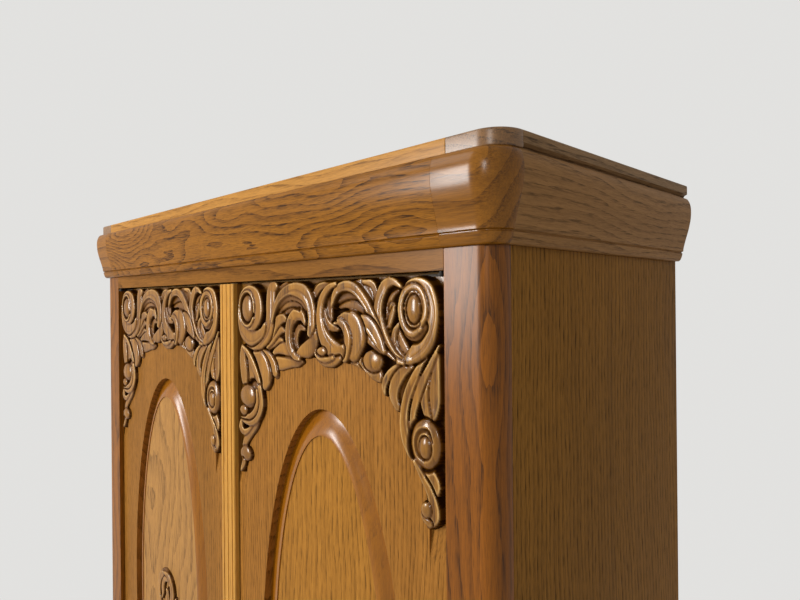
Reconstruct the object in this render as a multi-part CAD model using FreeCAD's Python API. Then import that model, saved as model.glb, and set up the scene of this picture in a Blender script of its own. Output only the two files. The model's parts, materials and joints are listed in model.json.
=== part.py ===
import FreeCAD, Part
import math
import os

from FreeCAD import Vector

os.makedirs("parts", exist_ok=True)

# A two door oak linen cupboard with a rounded cornice, rounded corner posts,
# an oval moulding on each door and scroll carving across the top of each door.
# Millimetres. X runs to the right, Y to the back, Z up from the floor, and the
# origin is the middle of the cupboard's outer box at floor level.
# Inside the functions Y is counted from the front faces of the corner posts.

# Overall
cupboard_width = 1150.0
cupboard_depth = 501.6
cupboard_height = 1720.0
corner_radius = 25.0
cut_overrun = 5.0

# Corner posts and sides
post_width = 73.0
post_depth = 29.5
side_thickness = 22.0

# Rails and boards of the carcass
top_rail_height = 26.0
bottom_rail_height = 40.0
carcass_board = 20.0
bottom_board_drop = 2.0
stop_depth = 26.0
stop_height = 25.0

# Back, a frame of stiles and rails that holds two thin panels
back_thickness = 12.0
back_stile_width = 70.0
back_rail_width = 80.0
back_panel_thickness = 5.0
back_panel_inset = 3.0

# Cornice
cornice_height = 102.0
cornice_projection = 25.6
cornice_stock = 20.0
cornice_corner_radius = 17.0
cornice_block_width = 70.0
cornice_block_depth = 18.0
cornice_band_shares = [(0.207, 0.0), (0.33, 0.028), (0.406, 0.075), (0.453, 0.124)]
cornice_quirk_shares = [(0.453, 0.124), (0.385, 0.134), (0.385, 0.143), (0.5, 0.157)]
cornice_ogee_shares = [(0.5, 0.157), (0.525, 0.21), (0.578, 0.266), (0.68, 0.36), (0.793, 0.454), (0.885, 0.547),
                       (0.97, 0.657), (1.0, 0.755), (0.98, 0.86), (0.895, 0.935), (0.78, 0.982), (0.68, 1.0)]

# Top board with its lips
top_board_thickness = 21.0
top_base_overhang = 8.5
lip_projection = 11.0
lip_stock = 40.0
top_corner_width = 68.0
top_corner_depth = 26.5
lip_rounding = 3.0

# Base with its plinth moulding and bun feet
plinth_height = 140.0
plinth_projection = 21.0
plinth_stock = 20.0
plinth_block_width = 59.0
plinth_block_depth = 29.5
plinth_base_shares = [(1.0, 0.0), (1.0, 0.46)]
plinth_ogee_shares = [(1.0, 0.46), (0.92, 0.6), (0.7, 0.73), (0.52, 0.8), (0.46, 0.86)]
plinth_band_shares = [(0.34, 0.88), (0.22, 1.0)]
foot_height = 100.0
foot_radius = 56.0
foot_neck_radius = 34.0
foot_sole_radius = 36.0
foot_neck_height = 14.0
foot_sole_height = 8.0
foot_inset = 46.0
foot_rear_inset = 58.0

# Shelves
shelf_count = 3
shelf_thickness = 20.0
shelf_setback = 62.0
shelf_side_clearance = 1.0
batten_width = 18.0
batten_height = 25.0
batten_end_gap = 12.0

# Doors
door_recess = 9.5
door_board = 20.0
door_back_sheet = 4.0
door_side_gap = 2.0
door_end_gap = 3.0
meeting_gap = 2.0
stop_gap = 1.0

# Centre strip on the left door, with rounded edges and three grooves
strip_width = 46.5
strip_thickness = 8.5
strip_rounding = 3.0
strip_groove_width = 2.4
strip_groove_depth = 1.6
strip_groove_shares = [0.2, 0.5, 0.8]

# Oval moulding and the panel inside it
oval_side_margin = 71.0
oval_top_margin = 188.0
oval_band = 38.0
oval_depth = 12.5
oval_bead_width = 3.0
oval_bead_height = 1.2
oval_panel_step = 0.5
oval_rise_shares = [(0.0, 0.0), (0.2, 0.08), (0.42, 0.3), (0.62, 0.6), (0.82, 0.87), (1.0, 1.0)]

# Carving across the top of each door. Its drawing is in shares of its width,
# counted in hundredths: x to the right from the field's left edge, z down from
# the door's top, and half the width of the stroke.
carving_margin = 8.0
ground_depth = 7.0
relief_low = 4.5
relief_high = 8.0
eye_height = 10.0
eye_rounding = 4.0
stroke_core_share = 0.55
stroke_steps = 3

ground_outline_shares = [
    (-2, -2), (103, -2), (103, 62), (94.5, 62), (92.5, 50), (88, 45), (86.5, 36), (80.5, 30.5),
    (75, 26.5), (66, 24.5), (57, 24), (50, 24.5), (41, 24), (33, 26), (27, 27.5), (22, 33),
    (17, 40), (15, 47), (9, 53), (7, 58), (6, 62), (-2, 62)]
ground_run_out_share = 73
ground_run_start_share = 62
ground_run_left_share = 6
ground_run_right_share = 94.5

stroke_shares = [
    # right volute, from its stem inwards
    [(88, 22.4, 0.9), (91.5, 20.6, 2.2), (95, 17.3, 2.4), (97.1, 12.8, 2.2), (97.4, 8, 2.0)],
    [(97.4, 9, 2.0), (96, 4, 1.9), (93.2, 1.9, 1.5), (90, 1.8, 1.3), (87.2, 3.6, 1.2)],
    [(87.8, 3, 1.2), (85.9, 6.8, 1.2), (85.7, 10.5, 1.3), (87, 13.8, 1.5), (89.8, 15.5, 1.6)],
    [(89, 15.2, 1.6), (92.8, 14.6, 1.5), (94.6, 11.8, 1.3), (94.9, 8.4, 1.1), (93.6, 5.4, 1.0)],
    # hooked leaf beside the right volute
    [(86, 2.2, 1.0), (83, 1.8, 1.4), (80.2, 3, 1.7), (78, 6.5, 1.6), (77.4, 10.5, 1.7)],
    [(77.4, 9.5, 1.7), (78.6, 14.5, 1.9), (80.6, 18, 1.8), (83.5, 21, 1.3), (87, 22.7, 0.9)],
    [(84.8, 3.4, 1.2), (82, 4.5, 2.0), (80.3, 7.5, 1.8), (80.4, 12, 1.6), (81, 16.5, 0.9)],
    [(85, 12.4, 0.8), (83.2, 14.5, 0.9), (82.9, 17.5, 0.9), (84.6, 20.3, 0.9), (87.3, 22, 0.8)],
    [(85.6, 16.3, 0.9), (87, 18.4, 1.9), (88, 20.7, 1.6), (88, 22.5, 0.9)],
    # right arch leaf and the leaf folded under it
    [(57.8, 7.5, 0.8), (58.6, 4.9, 1.0), (60.8, 2.9, 1.3), (63.8, 2.3, 1.4), (67.2, 3.2, 1.4)],
    [(66.4, 2.9, 1.4), (70.5, 5.3, 1.4), (73.6, 8.6, 1.4), (76, 12.5, 1.3), (78, 16.5, 1.3)],
    [(77.6, 15.6, 1.3), (80.5, 20, 1.2), (84, 22.3, 0.9), (87.3, 23, 0.7)],
    [(60, 6.5, 2.0), (64, 6.2, 2.2), (68, 6.8, 1.8), (72, 9, 1.2), (74.5, 11.5, 0.8)],
    # middle scroll with its small volute
    [(58.5, 1.8, 0.8), (55.5, 2.6, 1.1), (53, 5, 1.3), (51.3, 8.3, 1.3), (50.8, 12, 1.5)],
    [(50.9, 11, 1.5), (51.8, 15.6, 2.0), (54, 18.8, 2.4), (57, 21, 2.6), (60.5, 21.8, 2.2)],
    [(56.5, 4, 1.3), (54.8, 7, 1.7), (53.8, 10, 1.7), (54.6, 12.8, 1.6), (57.2, 14.6, 0.9)],
    [(60, 23, 1.2), (56.5, 25, 1.5), (52.5, 25.6, 1.2), (49.8, 24, 1.1), (51.4, 21.4, 1.4)],
    # swollen leaf and the wing that leaves it
    [(59.5, 12.4, 1.4), (63.5, 11.8, 2.4), (67, 14, 3.6), (67.4, 18, 4.0), (64.8, 21.8, 2.8)],
    [(58.6, 13.8, 0.7), (61, 13.6, 0.9), (63, 15.6, 1.1), (63.6, 19, 1.2), (62, 23.2, 1.0)],
    [(66, 14.9, 0.6), (68, 13.2, 0.9), (71, 12.7, 1.5), (74.2, 14.6, 2.0), (77, 17.6, 1.5)],
    [(76.4, 17, 1.6), (80, 20.5, 0.9), (83.5, 22.6, 0.6)],
    # small leaves along the top
    [(56, 1.4, 0.7), (52.5, 2.4, 1.3), (49.8, 4.3, 1.5), (49.6, 7, 0.9)],
    [(69, 2, 0.7), (71.5, 2.6, 1.2), (73.6, 5, 1.2), (75.2, 9, 0.8)],
    [(72.5, 1.5, 0.7), (75.2, 2.2, 1.0), (76, 4.5, 1.0), (75.8, 8, 0.8)],
    [(34.5, 1.6, 0.7), (31, 2.0, 1.1), (28.6, 3.6, 1.2), (27, 6.6, 0.9), (26.4, 9.6, 0.7)],
    # left arch leaf with its ribs
    [(25, 13.5, 0.8), (26.4, 10, 1.2), (28.6, 6.8, 1.4), (31.8, 4.2, 1.5), (35.6, 2.8, 1.7)],
    [(34.6, 3, 1.7), (39.5, 2.6, 2.0), (43, 3.6, 2.1), (45.6, 6.4, 1.8), (47.1, 10, 1.7)],
    [(46.9, 9, 1.7), (47.3, 13.6, 1.9), (46.4, 16.2, 1.3)],
    [(26.5, 12, 0.8), (29, 8.6, 1.2), (32.5, 6.5, 1.3), (36.5, 6.1, 1.4), (40.5, 7.2, 1.6), (43.2, 9.4, 1)],
    # curled leaf under the left arch
    [(43.6, 12.4, 1.0), (41.2, 10.8, 1.5), (38, 11.2, 1.7), (35.6, 13.8, 1.6), (34.6, 17.6, 1.4)],
    [(34.7, 16.6, 1.4), (35.4, 21.2, 1.3), (38, 24, 1.0), (40, 24.8, 0.8)],
    [(42.4, 14.6, 0.8), (39.6, 14.4, 1.1), (37.6, 16.6, 1.1), (37, 19.6, 1.0), (39, 23.6, 0.9)],
    [(38.8, 23.6, 0.8), (41.5, 22.4, 1.9), (44.6, 21.8, 2.4), (47.4, 19.6, 1.8), (48.6, 16.8, 0.9)],
    # left volute, from its stem inwards
    [(18, 3.2, 1.0), (20.2, 5.2, 1.3), (21.2, 9, 1.3), (20.6, 13, 1.4), (18.6, 16.6, 1.6)],
    [(19, 16, 1.6), (15.4, 19.2, 1.8), (11.4, 20.2, 2.2), (7.4, 18.4, 2.2), (4.8, 14.6, 1.8)],
    [(5.2, 15.4, 1.9), (3.9, 10, 1.5), (4.8, 5.6, 1.4), (7.6, 2.9, 1.4), (11.2, 2.3, 1.5)],
    [(10.2, 2.2, 1.5), (14.6, 4, 1.6), (16.6, 7.4, 1.6), (16.8, 11.2, 1.6), (14.8, 14.6, 1.6)],
    [(15.4, 13.9, 1.6), (11.6, 16, 1.4), (8.2, 15.2, 1.1), (5.9, 12.6, 1.0), (5.2, 9, 0.9)],
    [(26.8, 1.8, 1.0), (25, 3.6, 1.8), (24, 7.5, 1.9), (23.2, 12, 1.9), (21.4, 16.4, 2.1)],
    [(21.8, 15.6, 2.1), (18.2, 20, 2.0), (14, 22.3, 1.3), (9.6, 22.4, 0.8)],
    # blades that leave the left stem
    [(33.4, 12.8, 0.8), (31, 12.6, 1.5), (27.8, 13.8, 1.6), (25, 16.6, 1.5), (22.5, 20, 1.0)],
    [(31.5, 16.6, 0.8), (29.5, 16.4, 1.1), (27, 17.8, 1.2), (24.5, 20, 1.1), (21.5, 22.2, 0.8)],
    # pods below the band
    [(24.6, 24, 0.8), (28, 23, 1.6), (32, 22.8, 1.9), (36, 24.2, 1.2), (39.5, 25.2, 0.8)],
    [(24.6, 26, 0.8), (27.5, 27, 2.2), (31, 26.8, 2.2), (35, 26.4, 1.5), (38.8, 26.4, 1), (41, 25.6, 0.6)],
    [(66, 25.6, 0.7), (69, 24.6, 0.9), (72.4, 23.2, 1.8), (75.4, 23, 2.6), (77, 25.5, 2.4)],
    [(66.4, 26.8, 0.7), (69.6, 26.8, 1.1), (73, 27.4, 1.6), (76.4, 27.6, 1.4), (78.4, 25.8, 1.0)],
    # left tail
    [(6.6, 22.6, 0.8), (9.6, 25.4, 1.2), (12.6, 29.2, 1.3), (15.2, 33.2, 1.3), (17.1, 37.5, 1.3)],
    [(16.7, 36.5, 1.3), (17.5, 41.5, 1.4), (16.3, 45.2, 1.5), (13.2, 48, 1.4), (9, 49, 1), (5.5, 48.6, 0.7)],
    [(6.3, 23.4, 1.0), (5.6, 27, 2.0), (6, 31, 2.1), (6.6, 35, 1.6), (6.9, 36.8, 0.8)],
    [(9, 26.5, 0.8), (10.4, 30, 1.7), (10.8, 33.4, 1.4), (10.6, 35.6, 0.8)],
    [(14.5, 24.4, 0.8), (17.4, 26.6, 1.8), (19.8, 29.8, 2.6), (20.6, 32.8, 2.6), (20.4, 35.6, 1.2)],
    [(17.5, 24, 0.8), (21, 25.2, 1.3), (23.6, 27.4, 1.7), (25.4, 30, 1.5), (26.4, 32, 0.8)],
    [(4.6, 49.4, 0.8), (3.6, 51.8, 1.2), (4.8, 53.6, 1.0), (7, 53.2, 0.8)],
    [(15.5, 48, 0.8), (12, 51.6, 1.3), (8, 54.4, 1.5), (5.4, 57.6, 1.3), (4.5, 61, 1.2), (4.4, 65, 1.1)],
    # right tail
    [(88.5, 23.6, 0.7), (84, 24.8, 0.9), (80.8, 27, 1.3), (79.4, 29.6, 1.1), (79.8, 31.8, 0.6)],
    [(89.3, 24.3, 0.8), (86, 26.4, 1.5), (83.4, 29, 1.6), (82.9, 32, 1.4), (84.4, 34.6, 1.2)],
    [(93.5, 21.5, 0.8), (91, 26, 1.2), (88.6, 30, 1.4), (87.2, 34.5, 1.4), (86.7, 39, 1.5)],
    [(86.8, 38, 1.5), (87.6, 43, 1.6), (90, 46.6, 1.6), (92.6, 48.4, 1.2)],
    [(98, 19, 0.7), (96.4, 22.4, 0.9), (94, 26.5, 1.1), (91.4, 31, 1.1), (89.8, 35.5, 1.0), (89.4, 40, 0.9)],
    [(98.2, 21, 0.7), (97.6, 24, 1.2), (96.8, 28.5, 1.9), (96.6, 32.5, 1.7), (97, 35.4, 0.9)],
    [(94.9, 25.6, 0.7), (93.8, 29.6, 1.0), (94, 33.4, 0.9), (95.4, 36.6, 0.9)],
    [(92, 49, 0.9), (96, 48.6, 1.4), (98, 45, 1.4), (97.9, 41, 1.5), (95.6, 38.6, 1.5), (92.8, 39.2, 1.4)],
    [(93.2, 39, 1.4), (91.4, 42.2, 1.2), (92.2, 45.4, 1.0), (94.4, 46.8, 0.9)],
    [(94, 49.4, 0.8), (96.4, 51, 1.4), (97.8, 53, 1.2), (98.2, 54.8, 0.6)],
    [(90.6, 48.4, 0.7), (93.2, 51.8, 0.9), (95.4, 54.8, 1.2), (97, 58.4, 1.4), (97.2, 61.6, 1.4),
     (95, 63.4, 1.2)]]

# volute eyes, berries and swellings: middle x, middle z, half width, half height
eye_shares = [
    (91.4, 8.8, 3.0, 3.8), (9.1, 8.7, 3.2, 4.2), (52.4, 22.8, 1.8, 1.4), (66.6, 17.4, 3.6, 4.6),
    (8.4, 40.2, 5.0, 3.6), (5.6, 45.2, 2.2, 1.9), (94.5, 43.6, 2.0, 2.8), (7.2, 60.8, 3.2, 2.4),
    (94.4, 60.2, 1.9, 2.2), (75.4, 24.4, 2.6, 3.4), (82, 9.6, 1.4, 2.0)]

# Leaf ornament in the middle of each oval, drawn the same way about its own
# middle, in hundredths of its height
ornament_height = 130.0
ornament_relief = 7.0
ornament_stroke_shares = [
    # arched leaf over the hollow
    [(-29, 6, 2.5), (-33, -10, 5), (-29, -26, 6), (-18, -38, 6.5), (-4, -43.5, 6.2), (9, -38, 6.5)],
    [(7, -39.5, 6.5), (17, -28, 6.3), (20.5, -13, 5.5), (16, 2, 4), (9, 12, 3)],
    # curl inside the arch and the stem below it
    [(12, -27, 3), (2, -33, 4.5), (-9, -30, 5), (-14.5, -19, 4.5), (-14, -7, 3), (-19, 4, 1.5)],
    [(1, -19, 2), (4, -10, 5), (4, 4, 6), (2, 18, 6), (-2, 31, 5), (-3, 42, 3), (0, 49, 1)],
    # small leaf on the right
    [(4, 24, 3), (12, 14, 4.5), (20, 4, 5), (27, -4, 4), (31.5, -11, 1)],
    # leaf and curl at the foot
    [(-29, 6, 2.5), (-26, 15, 4.5), (-17, 22, 4.8), (-6, 25, 4)],
    [(2, 16, 4), (13, 21, 5), (21, 28, 5), (21, 38, 4.5), (13, 41, 3.6), (10, 34, 2.5)],
    [(-3, 28, 3), (-11, 33, 4), (-19, 40, 3.2), (-24, 48, 1)]]

# Pivot hinges: a plate with a pin in each rail, and an eye on each door corner
pivot_inset = 5.0
pivot_lead = 5.0
pivot_pin_radius = 2.5
pivot_clearance = 0.08
pivot_eye_radius = 4.5
pivot_plate_thickness = 3.0
pivot_plate_length = 50.0
pivot_plate_depth = 20.0
pivot_plate_front = 1.5
pivot_plate_end_gap = 1.0
pivot_pin_tip = 1.0
eye_plate_length = 45.0
eye_plate_depth = 10.0
eye_plate_setback = 6.0

# Rim lock on the inner face of the right door
lock_width = 70.0
lock_height = 96.0
lock_thickness = 14.0
lock_wall = 1.5
lock_edge_gap = 1.0
lock_bolt_height = 16.0
lock_bolt_thickness = 7.0
lock_bolt_length = 50.0
lock_bolt_travel = 12.0
lock_bolt_rise = 20.0
lock_running_gap = 0.3
key_chamber_radius = 13.0
keeper_length = 26.0
keeper_height = 34.0
keeper_wall = 2.0
keeper_edge_gap = 1.5
keeper_pocket_gap = 1.0

# Key and escutcheon
key_setback = 26.0
key_shank_radius = 3.0
key_fit_clearance = 0.08
key_bore_radius = 4.2
key_slot_half_width = 1.8
key_slot_drop = 11.0
key_bit_thickness = 2.4
key_bit_drop = 9.0
key_bit_length = 6.0
key_collar_radius = 4.6
key_collar_length = 4.0
key_bow_radius = 11.0
key_bow_wire = 2.6
key_reach = 29.0
escutcheon_thickness = 1.6
escutcheon_half_width = 13.0
escutcheon_half_height = 26.0

# Slide bolts on the inner face of the left door
slide_inset = 34.0
slide_bar_width = 12.0
slide_bar_thickness = 5.0
slide_bar_length = 110.0
slide_travel = 18.0
slide_mouth_gap = 3.0
slide_plate_width = 28.0
slide_plate_thickness = 2.0
slide_plate_length = 84.0
slide_plate_offset = 24.0
slide_guide_height = 10.0
slide_guide_wall = 2.0
slide_running_gap = 0.3
slide_knob_radius = 5.0
slide_knob_length = 9.0
slide_socket_gap = 1.0

# Places worked out from the sizes above
half_width = cupboard_width / 2
side_inner = half_width - side_thickness
post_inner = half_width - post_width
carcass_top = cupboard_height - cornice_height - top_board_thickness
base_top = foot_height + plinth_height
front_shift = (cornice_projection - cupboard_depth) / 2
back_front = cupboard_depth - back_thickness
bottom_board_top = base_top + bottom_rail_height - bottom_board_drop
inner_top_bottom = carcass_top - carcass_board
door_face = door_recess
door_rear = door_recess + door_board + door_back_sheet
door_bottom = base_top + bottom_rail_height + door_end_gap
door_top = carcass_top - top_rail_height - door_end_gap
door_middle = (door_bottom + door_top) / 2
field_start = strip_width / 2
field_width = post_inner - field_start
stop_front = door_rear + stop_gap
stop_bottom = inner_top_bottom - stop_height
pivot_x = post_inner - door_side_gap - pivot_inset
pivot_y = door_face - pivot_lead
right_door_edge = field_start + meeting_gap
key_x = right_door_edge + key_setback
slide_x = field_start - slide_inset
slide_rear = door_rear + slide_plate_thickness


def box(x0, x1, y0, y1, z0, z1):
    """A block between two corners."""
    return Part.makeBox(x1 - x0, y1 - y0, z1 - z0, Vector(x0, y0, z0))


def prism(points, direction):
    """A straight solid on a closed outline of points."""
    wire = Part.makePolygon(points + [points[0]])
    return Part.Face(wire).extrude(direction)


def mirrored(shape):
    """The same piece for the other side of the cupboard."""
    return shape.mirror(Vector(0, 0, 0), Vector(1, 0, 0))


def save(name, shape):
    """Write one named piece, moved from the posts' front to the middle of the depth."""
    placed = shape.copy()
    placed.translate(Vector(0, front_shift, 0))
    placed.exportStep("parts/" + name + ".step")
    print(name, len(placed.Solids), round(placed.Volume), placed.isValid())


def save_pair(stem, right_shape):
    """Write a piece for the right side and its mirror image for the left."""
    save(stem + "_right", right_shape)
    save(stem + "_left", mirrored(right_shape))


# Mouldings


def moulding_edges(projection, height, runs):
    """Outline of a moulding's face, from its foot to its top, as edges in X and Z."""
    edges = []
    for kind, shares in runs:
        places = [Vector(share[0] * projection, 0, share[1] * height) for share in shares]
        if kind == "curve":
            spline = Part.BSplineCurve()
            spline.interpolate(places)
            edges.append(spline.toShape())
        else:
            edges.extend(Part.makeLine(first, second) for first, second in zip(places, places[1:]))
    return edges


def moulding_face(edges, back):
    """The moulding's section, closed by a straight back at X = back."""
    foot = edges[0].Vertexes[0].Point
    top = edges[-1].Vertexes[-1].Point
    closing = [Vector(top), Vector(back, 0, top.z), Vector(back, 0, foot.z), Vector(foot)]
    lines = [Part.makeLine(a, b) for a, b in zip(closing, closing[1:])]
    return Part.Face(Part.Wire(edges + lines))


def cornice_edges():
    """Face of the cornice moulding: a rounded band, a narrow quirk and the long curve over it."""
    return moulding_edges(cornice_projection, cornice_height,
                          [("curve", cornice_band_shares), ("line", cornice_quirk_shares),
                           ("curve", cornice_ogee_shares)])


def plinth_edges():
    """Face of the plinth moulding."""
    return moulding_edges(plinth_projection, plinth_height,
                          [("line", plinth_base_shares), ("curve", plinth_ogee_shares),
                           ("line", [plinth_ogee_shares[-1]] + plinth_band_shares)])


def lip_edges():
    """Rounded edge of the top board."""
    turn = lip_rounding * (1 - math.sqrt(0.5))
    low = Vector(lip_projection - lip_rounding, 0, 0)
    low_mid = Vector(lip_projection - turn, 0, turn)
    low_end = Vector(lip_projection, 0, lip_rounding)
    high = Vector(lip_projection, 0, top_board_thickness - lip_rounding)
    high_mid = Vector(lip_projection - turn, 0, top_board_thickness - turn)
    high_end = Vector(lip_projection - lip_rounding, 0, top_board_thickness)
    arcs = [Part.Arc(low, low_mid, low_end).toShape(), Part.Arc(high, high_mid, high_end).toShape()]
    return [arcs[0], Part.makeLine(low_end, high), arcs[1]]


def side_moulding(edges, stock, z, base, block_depth):
    """Moulding along the right side, from the corner block to the back, on a base that reaches to X = base."""
    run = moulding_face(edges, -stock).extrude(Vector(0, cupboard_depth - block_depth, 0))
    run.translate(Vector(base, block_depth, z))
    return run


def front_moulding(edges, stock, z, run_half):
    """Moulding along the front, between the corner blocks."""
    run = moulding_face(edges, -stock)
    run.rotate(Vector(0, 0, 0), Vector(0, 0, 1), -90)
    run = run.extrude(Vector(2 * run_half, 0, 0))
    run.translate(Vector(-run_half, 0, z))
    return run


def corner_block(edges, height, z, base, radius, width, depth):
    """Solid block that carries a moulding round the right front corner of its base."""
    full = moulding_face(edges, -radius)
    turned = full.copy()
    turned.translate(Vector(radius, 0, 0))
    turned = turned.revolve(Vector(0, 0, 0), Vector(0, 0, 1), -90)
    turned.translate(Vector(base - radius, radius, z))
    side = full.extrude(Vector(0, depth - radius, 0))
    side.translate(Vector(base, radius, z))
    front = full.copy()
    front.rotate(Vector(0, 0, 0), Vector(0, 0, 1), -90)
    front = front.extrude(Vector(radius - width, 0, 0))
    front.translate(Vector(base - radius, 0, z))
    core = box(base - width, base - radius, radius, depth, z, z + height)
    return turned.multiFuse([side, front, core]).removeSplitter()


def cornice():
    """Cornice mouldings, their corner blocks and the rail across the back."""
    edges = cornice_edges()
    save("cornice_front", front_moulding(edges, cornice_stock, carcass_top, half_width - cornice_block_width))
    save_pair("cornice_side", side_moulding(edges, cornice_stock, carcass_top, half_width, cornice_block_depth))
    save_pair("cornice_corner", corner_block(edges, cornice_height, carcass_top, half_width,
                                             cornice_corner_radius, cornice_block_width, cornice_block_depth))
    inner = half_width - cornice_stock
    rail = box(-inner, inner, cupboard_depth - cornice_stock, cupboard_depth,
               carcass_top, carcass_top + cornice_height)
    save("cornice_rear_rail", rail)


def top_board():
    """Top board with a lip along the front and the sides and two corner pieces."""
    z = cupboard_height - top_board_thickness
    base = half_width + top_base_overhang
    run_half = base - top_corner_width
    save("top_lip_front", front_moulding(lip_edges(), lip_stock, z, run_half))
    save_pair("top_lip", side_moulding(lip_edges(), lip_stock, z, base, top_corner_depth))
    save_pair("top_corner", corner_block(lip_edges(), top_board_thickness, z, base,
                                         corner_radius, top_corner_width, top_corner_depth))
    inner = base - lip_stock
    core = box(-inner, inner, top_corner_depth, cupboard_depth, z, cupboard_height)
    front_lip = box(-run_half, run_half, 0, lip_stock, z, cupboard_height)
    save("top_board", core.cut(front_lip))


def base():
    """Plinth mouldings, corner blocks and rear rail."""
    edges = plinth_edges()
    save("plinth_front", front_moulding(edges, plinth_stock, foot_height, half_width - plinth_block_width))
    save_pair("plinth_side", side_moulding(edges, plinth_stock, foot_height, half_width, plinth_block_depth))
    save_pair("plinth_corner", corner_block(edges, plinth_height, foot_height, half_width,
                                            corner_radius, plinth_block_width, plinth_block_depth))
    inner = half_width - plinth_stock
    rail = box(-inner, inner, cupboard_depth - plinth_stock, cupboard_depth, foot_height, base_top)
    save("plinth_rear_rail", rail)


def bun_foot(x, y):
    """One turned foot."""
    belly = (foot_sole_height + foot_height - foot_neck_height) / 2
    sole = Vector(foot_sole_radius, 0, 0)
    sole_top = Vector(foot_sole_radius, 0, foot_sole_height)
    neck = Vector(foot_neck_radius, 0, foot_height - foot_neck_height)
    neck_top = Vector(foot_neck_radius, 0, foot_height)
    edges = [
        Part.makeLine(Vector(0, 0, 0), sole),
        Part.makeLine(sole, sole_top),
        Part.Arc(sole_top, Vector(foot_radius, 0, belly), neck).toShape(),
        Part.makeLine(neck, neck_top),
        Part.makeLine(neck_top, Vector(0, 0, foot_height)),
        Part.makeLine(Vector(0, 0, foot_height), Vector(0, 0, 0))]
    foot = Part.Face(Part.Wire(edges)).revolve(Vector(0, 0, 0), Vector(0, 0, 1), 360)
    foot.translate(Vector(x, y, 0))
    return foot


def feet():
    """Four feet, one under each corner of the base."""
    x = half_width - foot_inset
    places = [(side * x, y) for side in (-1, 1) for y in (foot_inset, cupboard_depth - foot_rear_inset)]
    save("bun_feet", Part.makeCompound([bun_foot(*place) for place in places]))


# Carcass


def post():
    """Right corner post with its rounded outer corner."""
    solid = box(post_inner, half_width, 0, post_depth, base_top, carcass_top)
    corner = [edge for edge in solid.Edges
              if edge.BoundBox.XMin > half_width - cut_overrun and edge.BoundBox.YMax < post_depth / 2
              and edge.BoundBox.ZLength > post_depth]
    return solid.makeFillet(min(corner_radius, post_depth * 0.9), corner)


def carcass():
    """Posts, sides, rails, boards and the batten that stops the doors."""
    save_pair("post", post())
    side = box(side_inner, half_width, post_depth, cupboard_depth, base_top, carcass_top)
    save_pair("side_panel", side)
    save("top_rail", cut_plates(box(-post_inner, post_inner, 0, post_depth,
                                    carcass_top - top_rail_height, carcass_top)))
    save("bottom_rail", cut_plates(box(-post_inner, post_inner, 0, post_depth,
                                       base_top, base_top + bottom_rail_height)))
    floor = box(-side_inner, side_inner, post_depth, back_front,
                bottom_board_top - carcass_board, bottom_board_top)
    save("bottom_board", floor.cut(slide_socket(bottom_board_top - carcass_board, bottom_board_top)))
    save("inner_top", box(-side_inner, side_inner, post_depth, back_front, inner_top_bottom, carcass_top))
    stop = box(-side_inner, side_inner, stop_front, stop_front + stop_depth, stop_bottom, inner_top_bottom)
    save("door_stop", stop.cut(slide_socket(stop_bottom, inner_top_bottom)))


def back():
    """Framed back: three stiles, two rails and two thin panels."""
    half_stile = back_stile_width / 2
    outer = side_inner
    stiles = [
        box(-outer, back_stile_width - outer, back_front, cupboard_depth, base_top, carcass_top),
        box(-half_stile, half_stile, back_front, cupboard_depth, base_top, carcass_top),
        box(outer - back_stile_width, outer, back_front, cupboard_depth, base_top, carcass_top)]
    save("back_stiles", Part.makeCompound(stiles))
    rails = []
    panels = []
    for x0, x1 in ((back_stile_width - outer, -half_stile), (half_stile, outer - back_stile_width)):
        rails.append(box(x0, x1, back_front, cupboard_depth, base_top, base_top + back_rail_width))
        rails.append(box(x0, x1, back_front, cupboard_depth, carcass_top - back_rail_width, carcass_top))
        panels.append(box(x0, x1, back_front + back_panel_inset,
                          back_front + back_panel_inset + back_panel_thickness,
                          base_top + back_rail_width, carcass_top - back_rail_width))
    save("back_rails", Part.makeCompound(rails))
    save("back_panels", Part.makeCompound(panels))


def shelves():
    """Loose shelves on battens screwed to the sides."""
    names = ["lower", "middle", "upper"]
    clear = inner_top_bottom - bottom_board_top - shelf_count * shelf_thickness
    bay = clear / (shelf_count + 1)
    reach = side_inner - shelf_side_clearance
    battens = []
    for index in range(shelf_count):
        z = bottom_board_top + bay * (index + 1) + shelf_thickness * index
        name = names[index] if index < len(names) else "extra_" + str(index)
        save("shelf_" + name, box(-reach, reach, shelf_setback, back_front - shelf_side_clearance,
                                  z, z + shelf_thickness))
        batten = box(side_inner - batten_width, side_inner, shelf_setback + batten_end_gap,
                     back_front - batten_end_gap, z - batten_height, z)
        battens.extend([batten, mirrored(batten)])
    save("shelf_battens", Part.makeCompound(battens))


# Pivot hinges


def pivot_plate(low, up):
    """Plate and pin of the right hinge, its face at height low, the pin pointing up or down."""
    x0 = post_inner - pivot_plate_end_gap - pivot_plate_length
    z0 = low if up < 0 else low - pivot_plate_thickness
    plate = box(x0, x0 + pivot_plate_length, pivot_plate_front, pivot_plate_front + pivot_plate_depth,
                z0, z0 + pivot_plate_thickness)
    length = door_end_gap + pivot_plate_thickness + pivot_pin_tip
    pin = Part.makeCylinder(pivot_pin_radius, length, Vector(pivot_x, pivot_y, low), Vector(0, 0, up))
    return plate, plate.fuse(pin)


def cut_plates(rail):
    """A rail with seats for the pivot plates."""
    top_seat = pivot_plate(carcass_top - top_rail_height, -1)[0]
    bottom_seat = pivot_plate(base_top + bottom_rail_height, 1)[0]
    for seat in (top_seat, bottom_seat):
        rail = rail.cut(seat).cut(mirrored(seat))
    return rail


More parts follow.
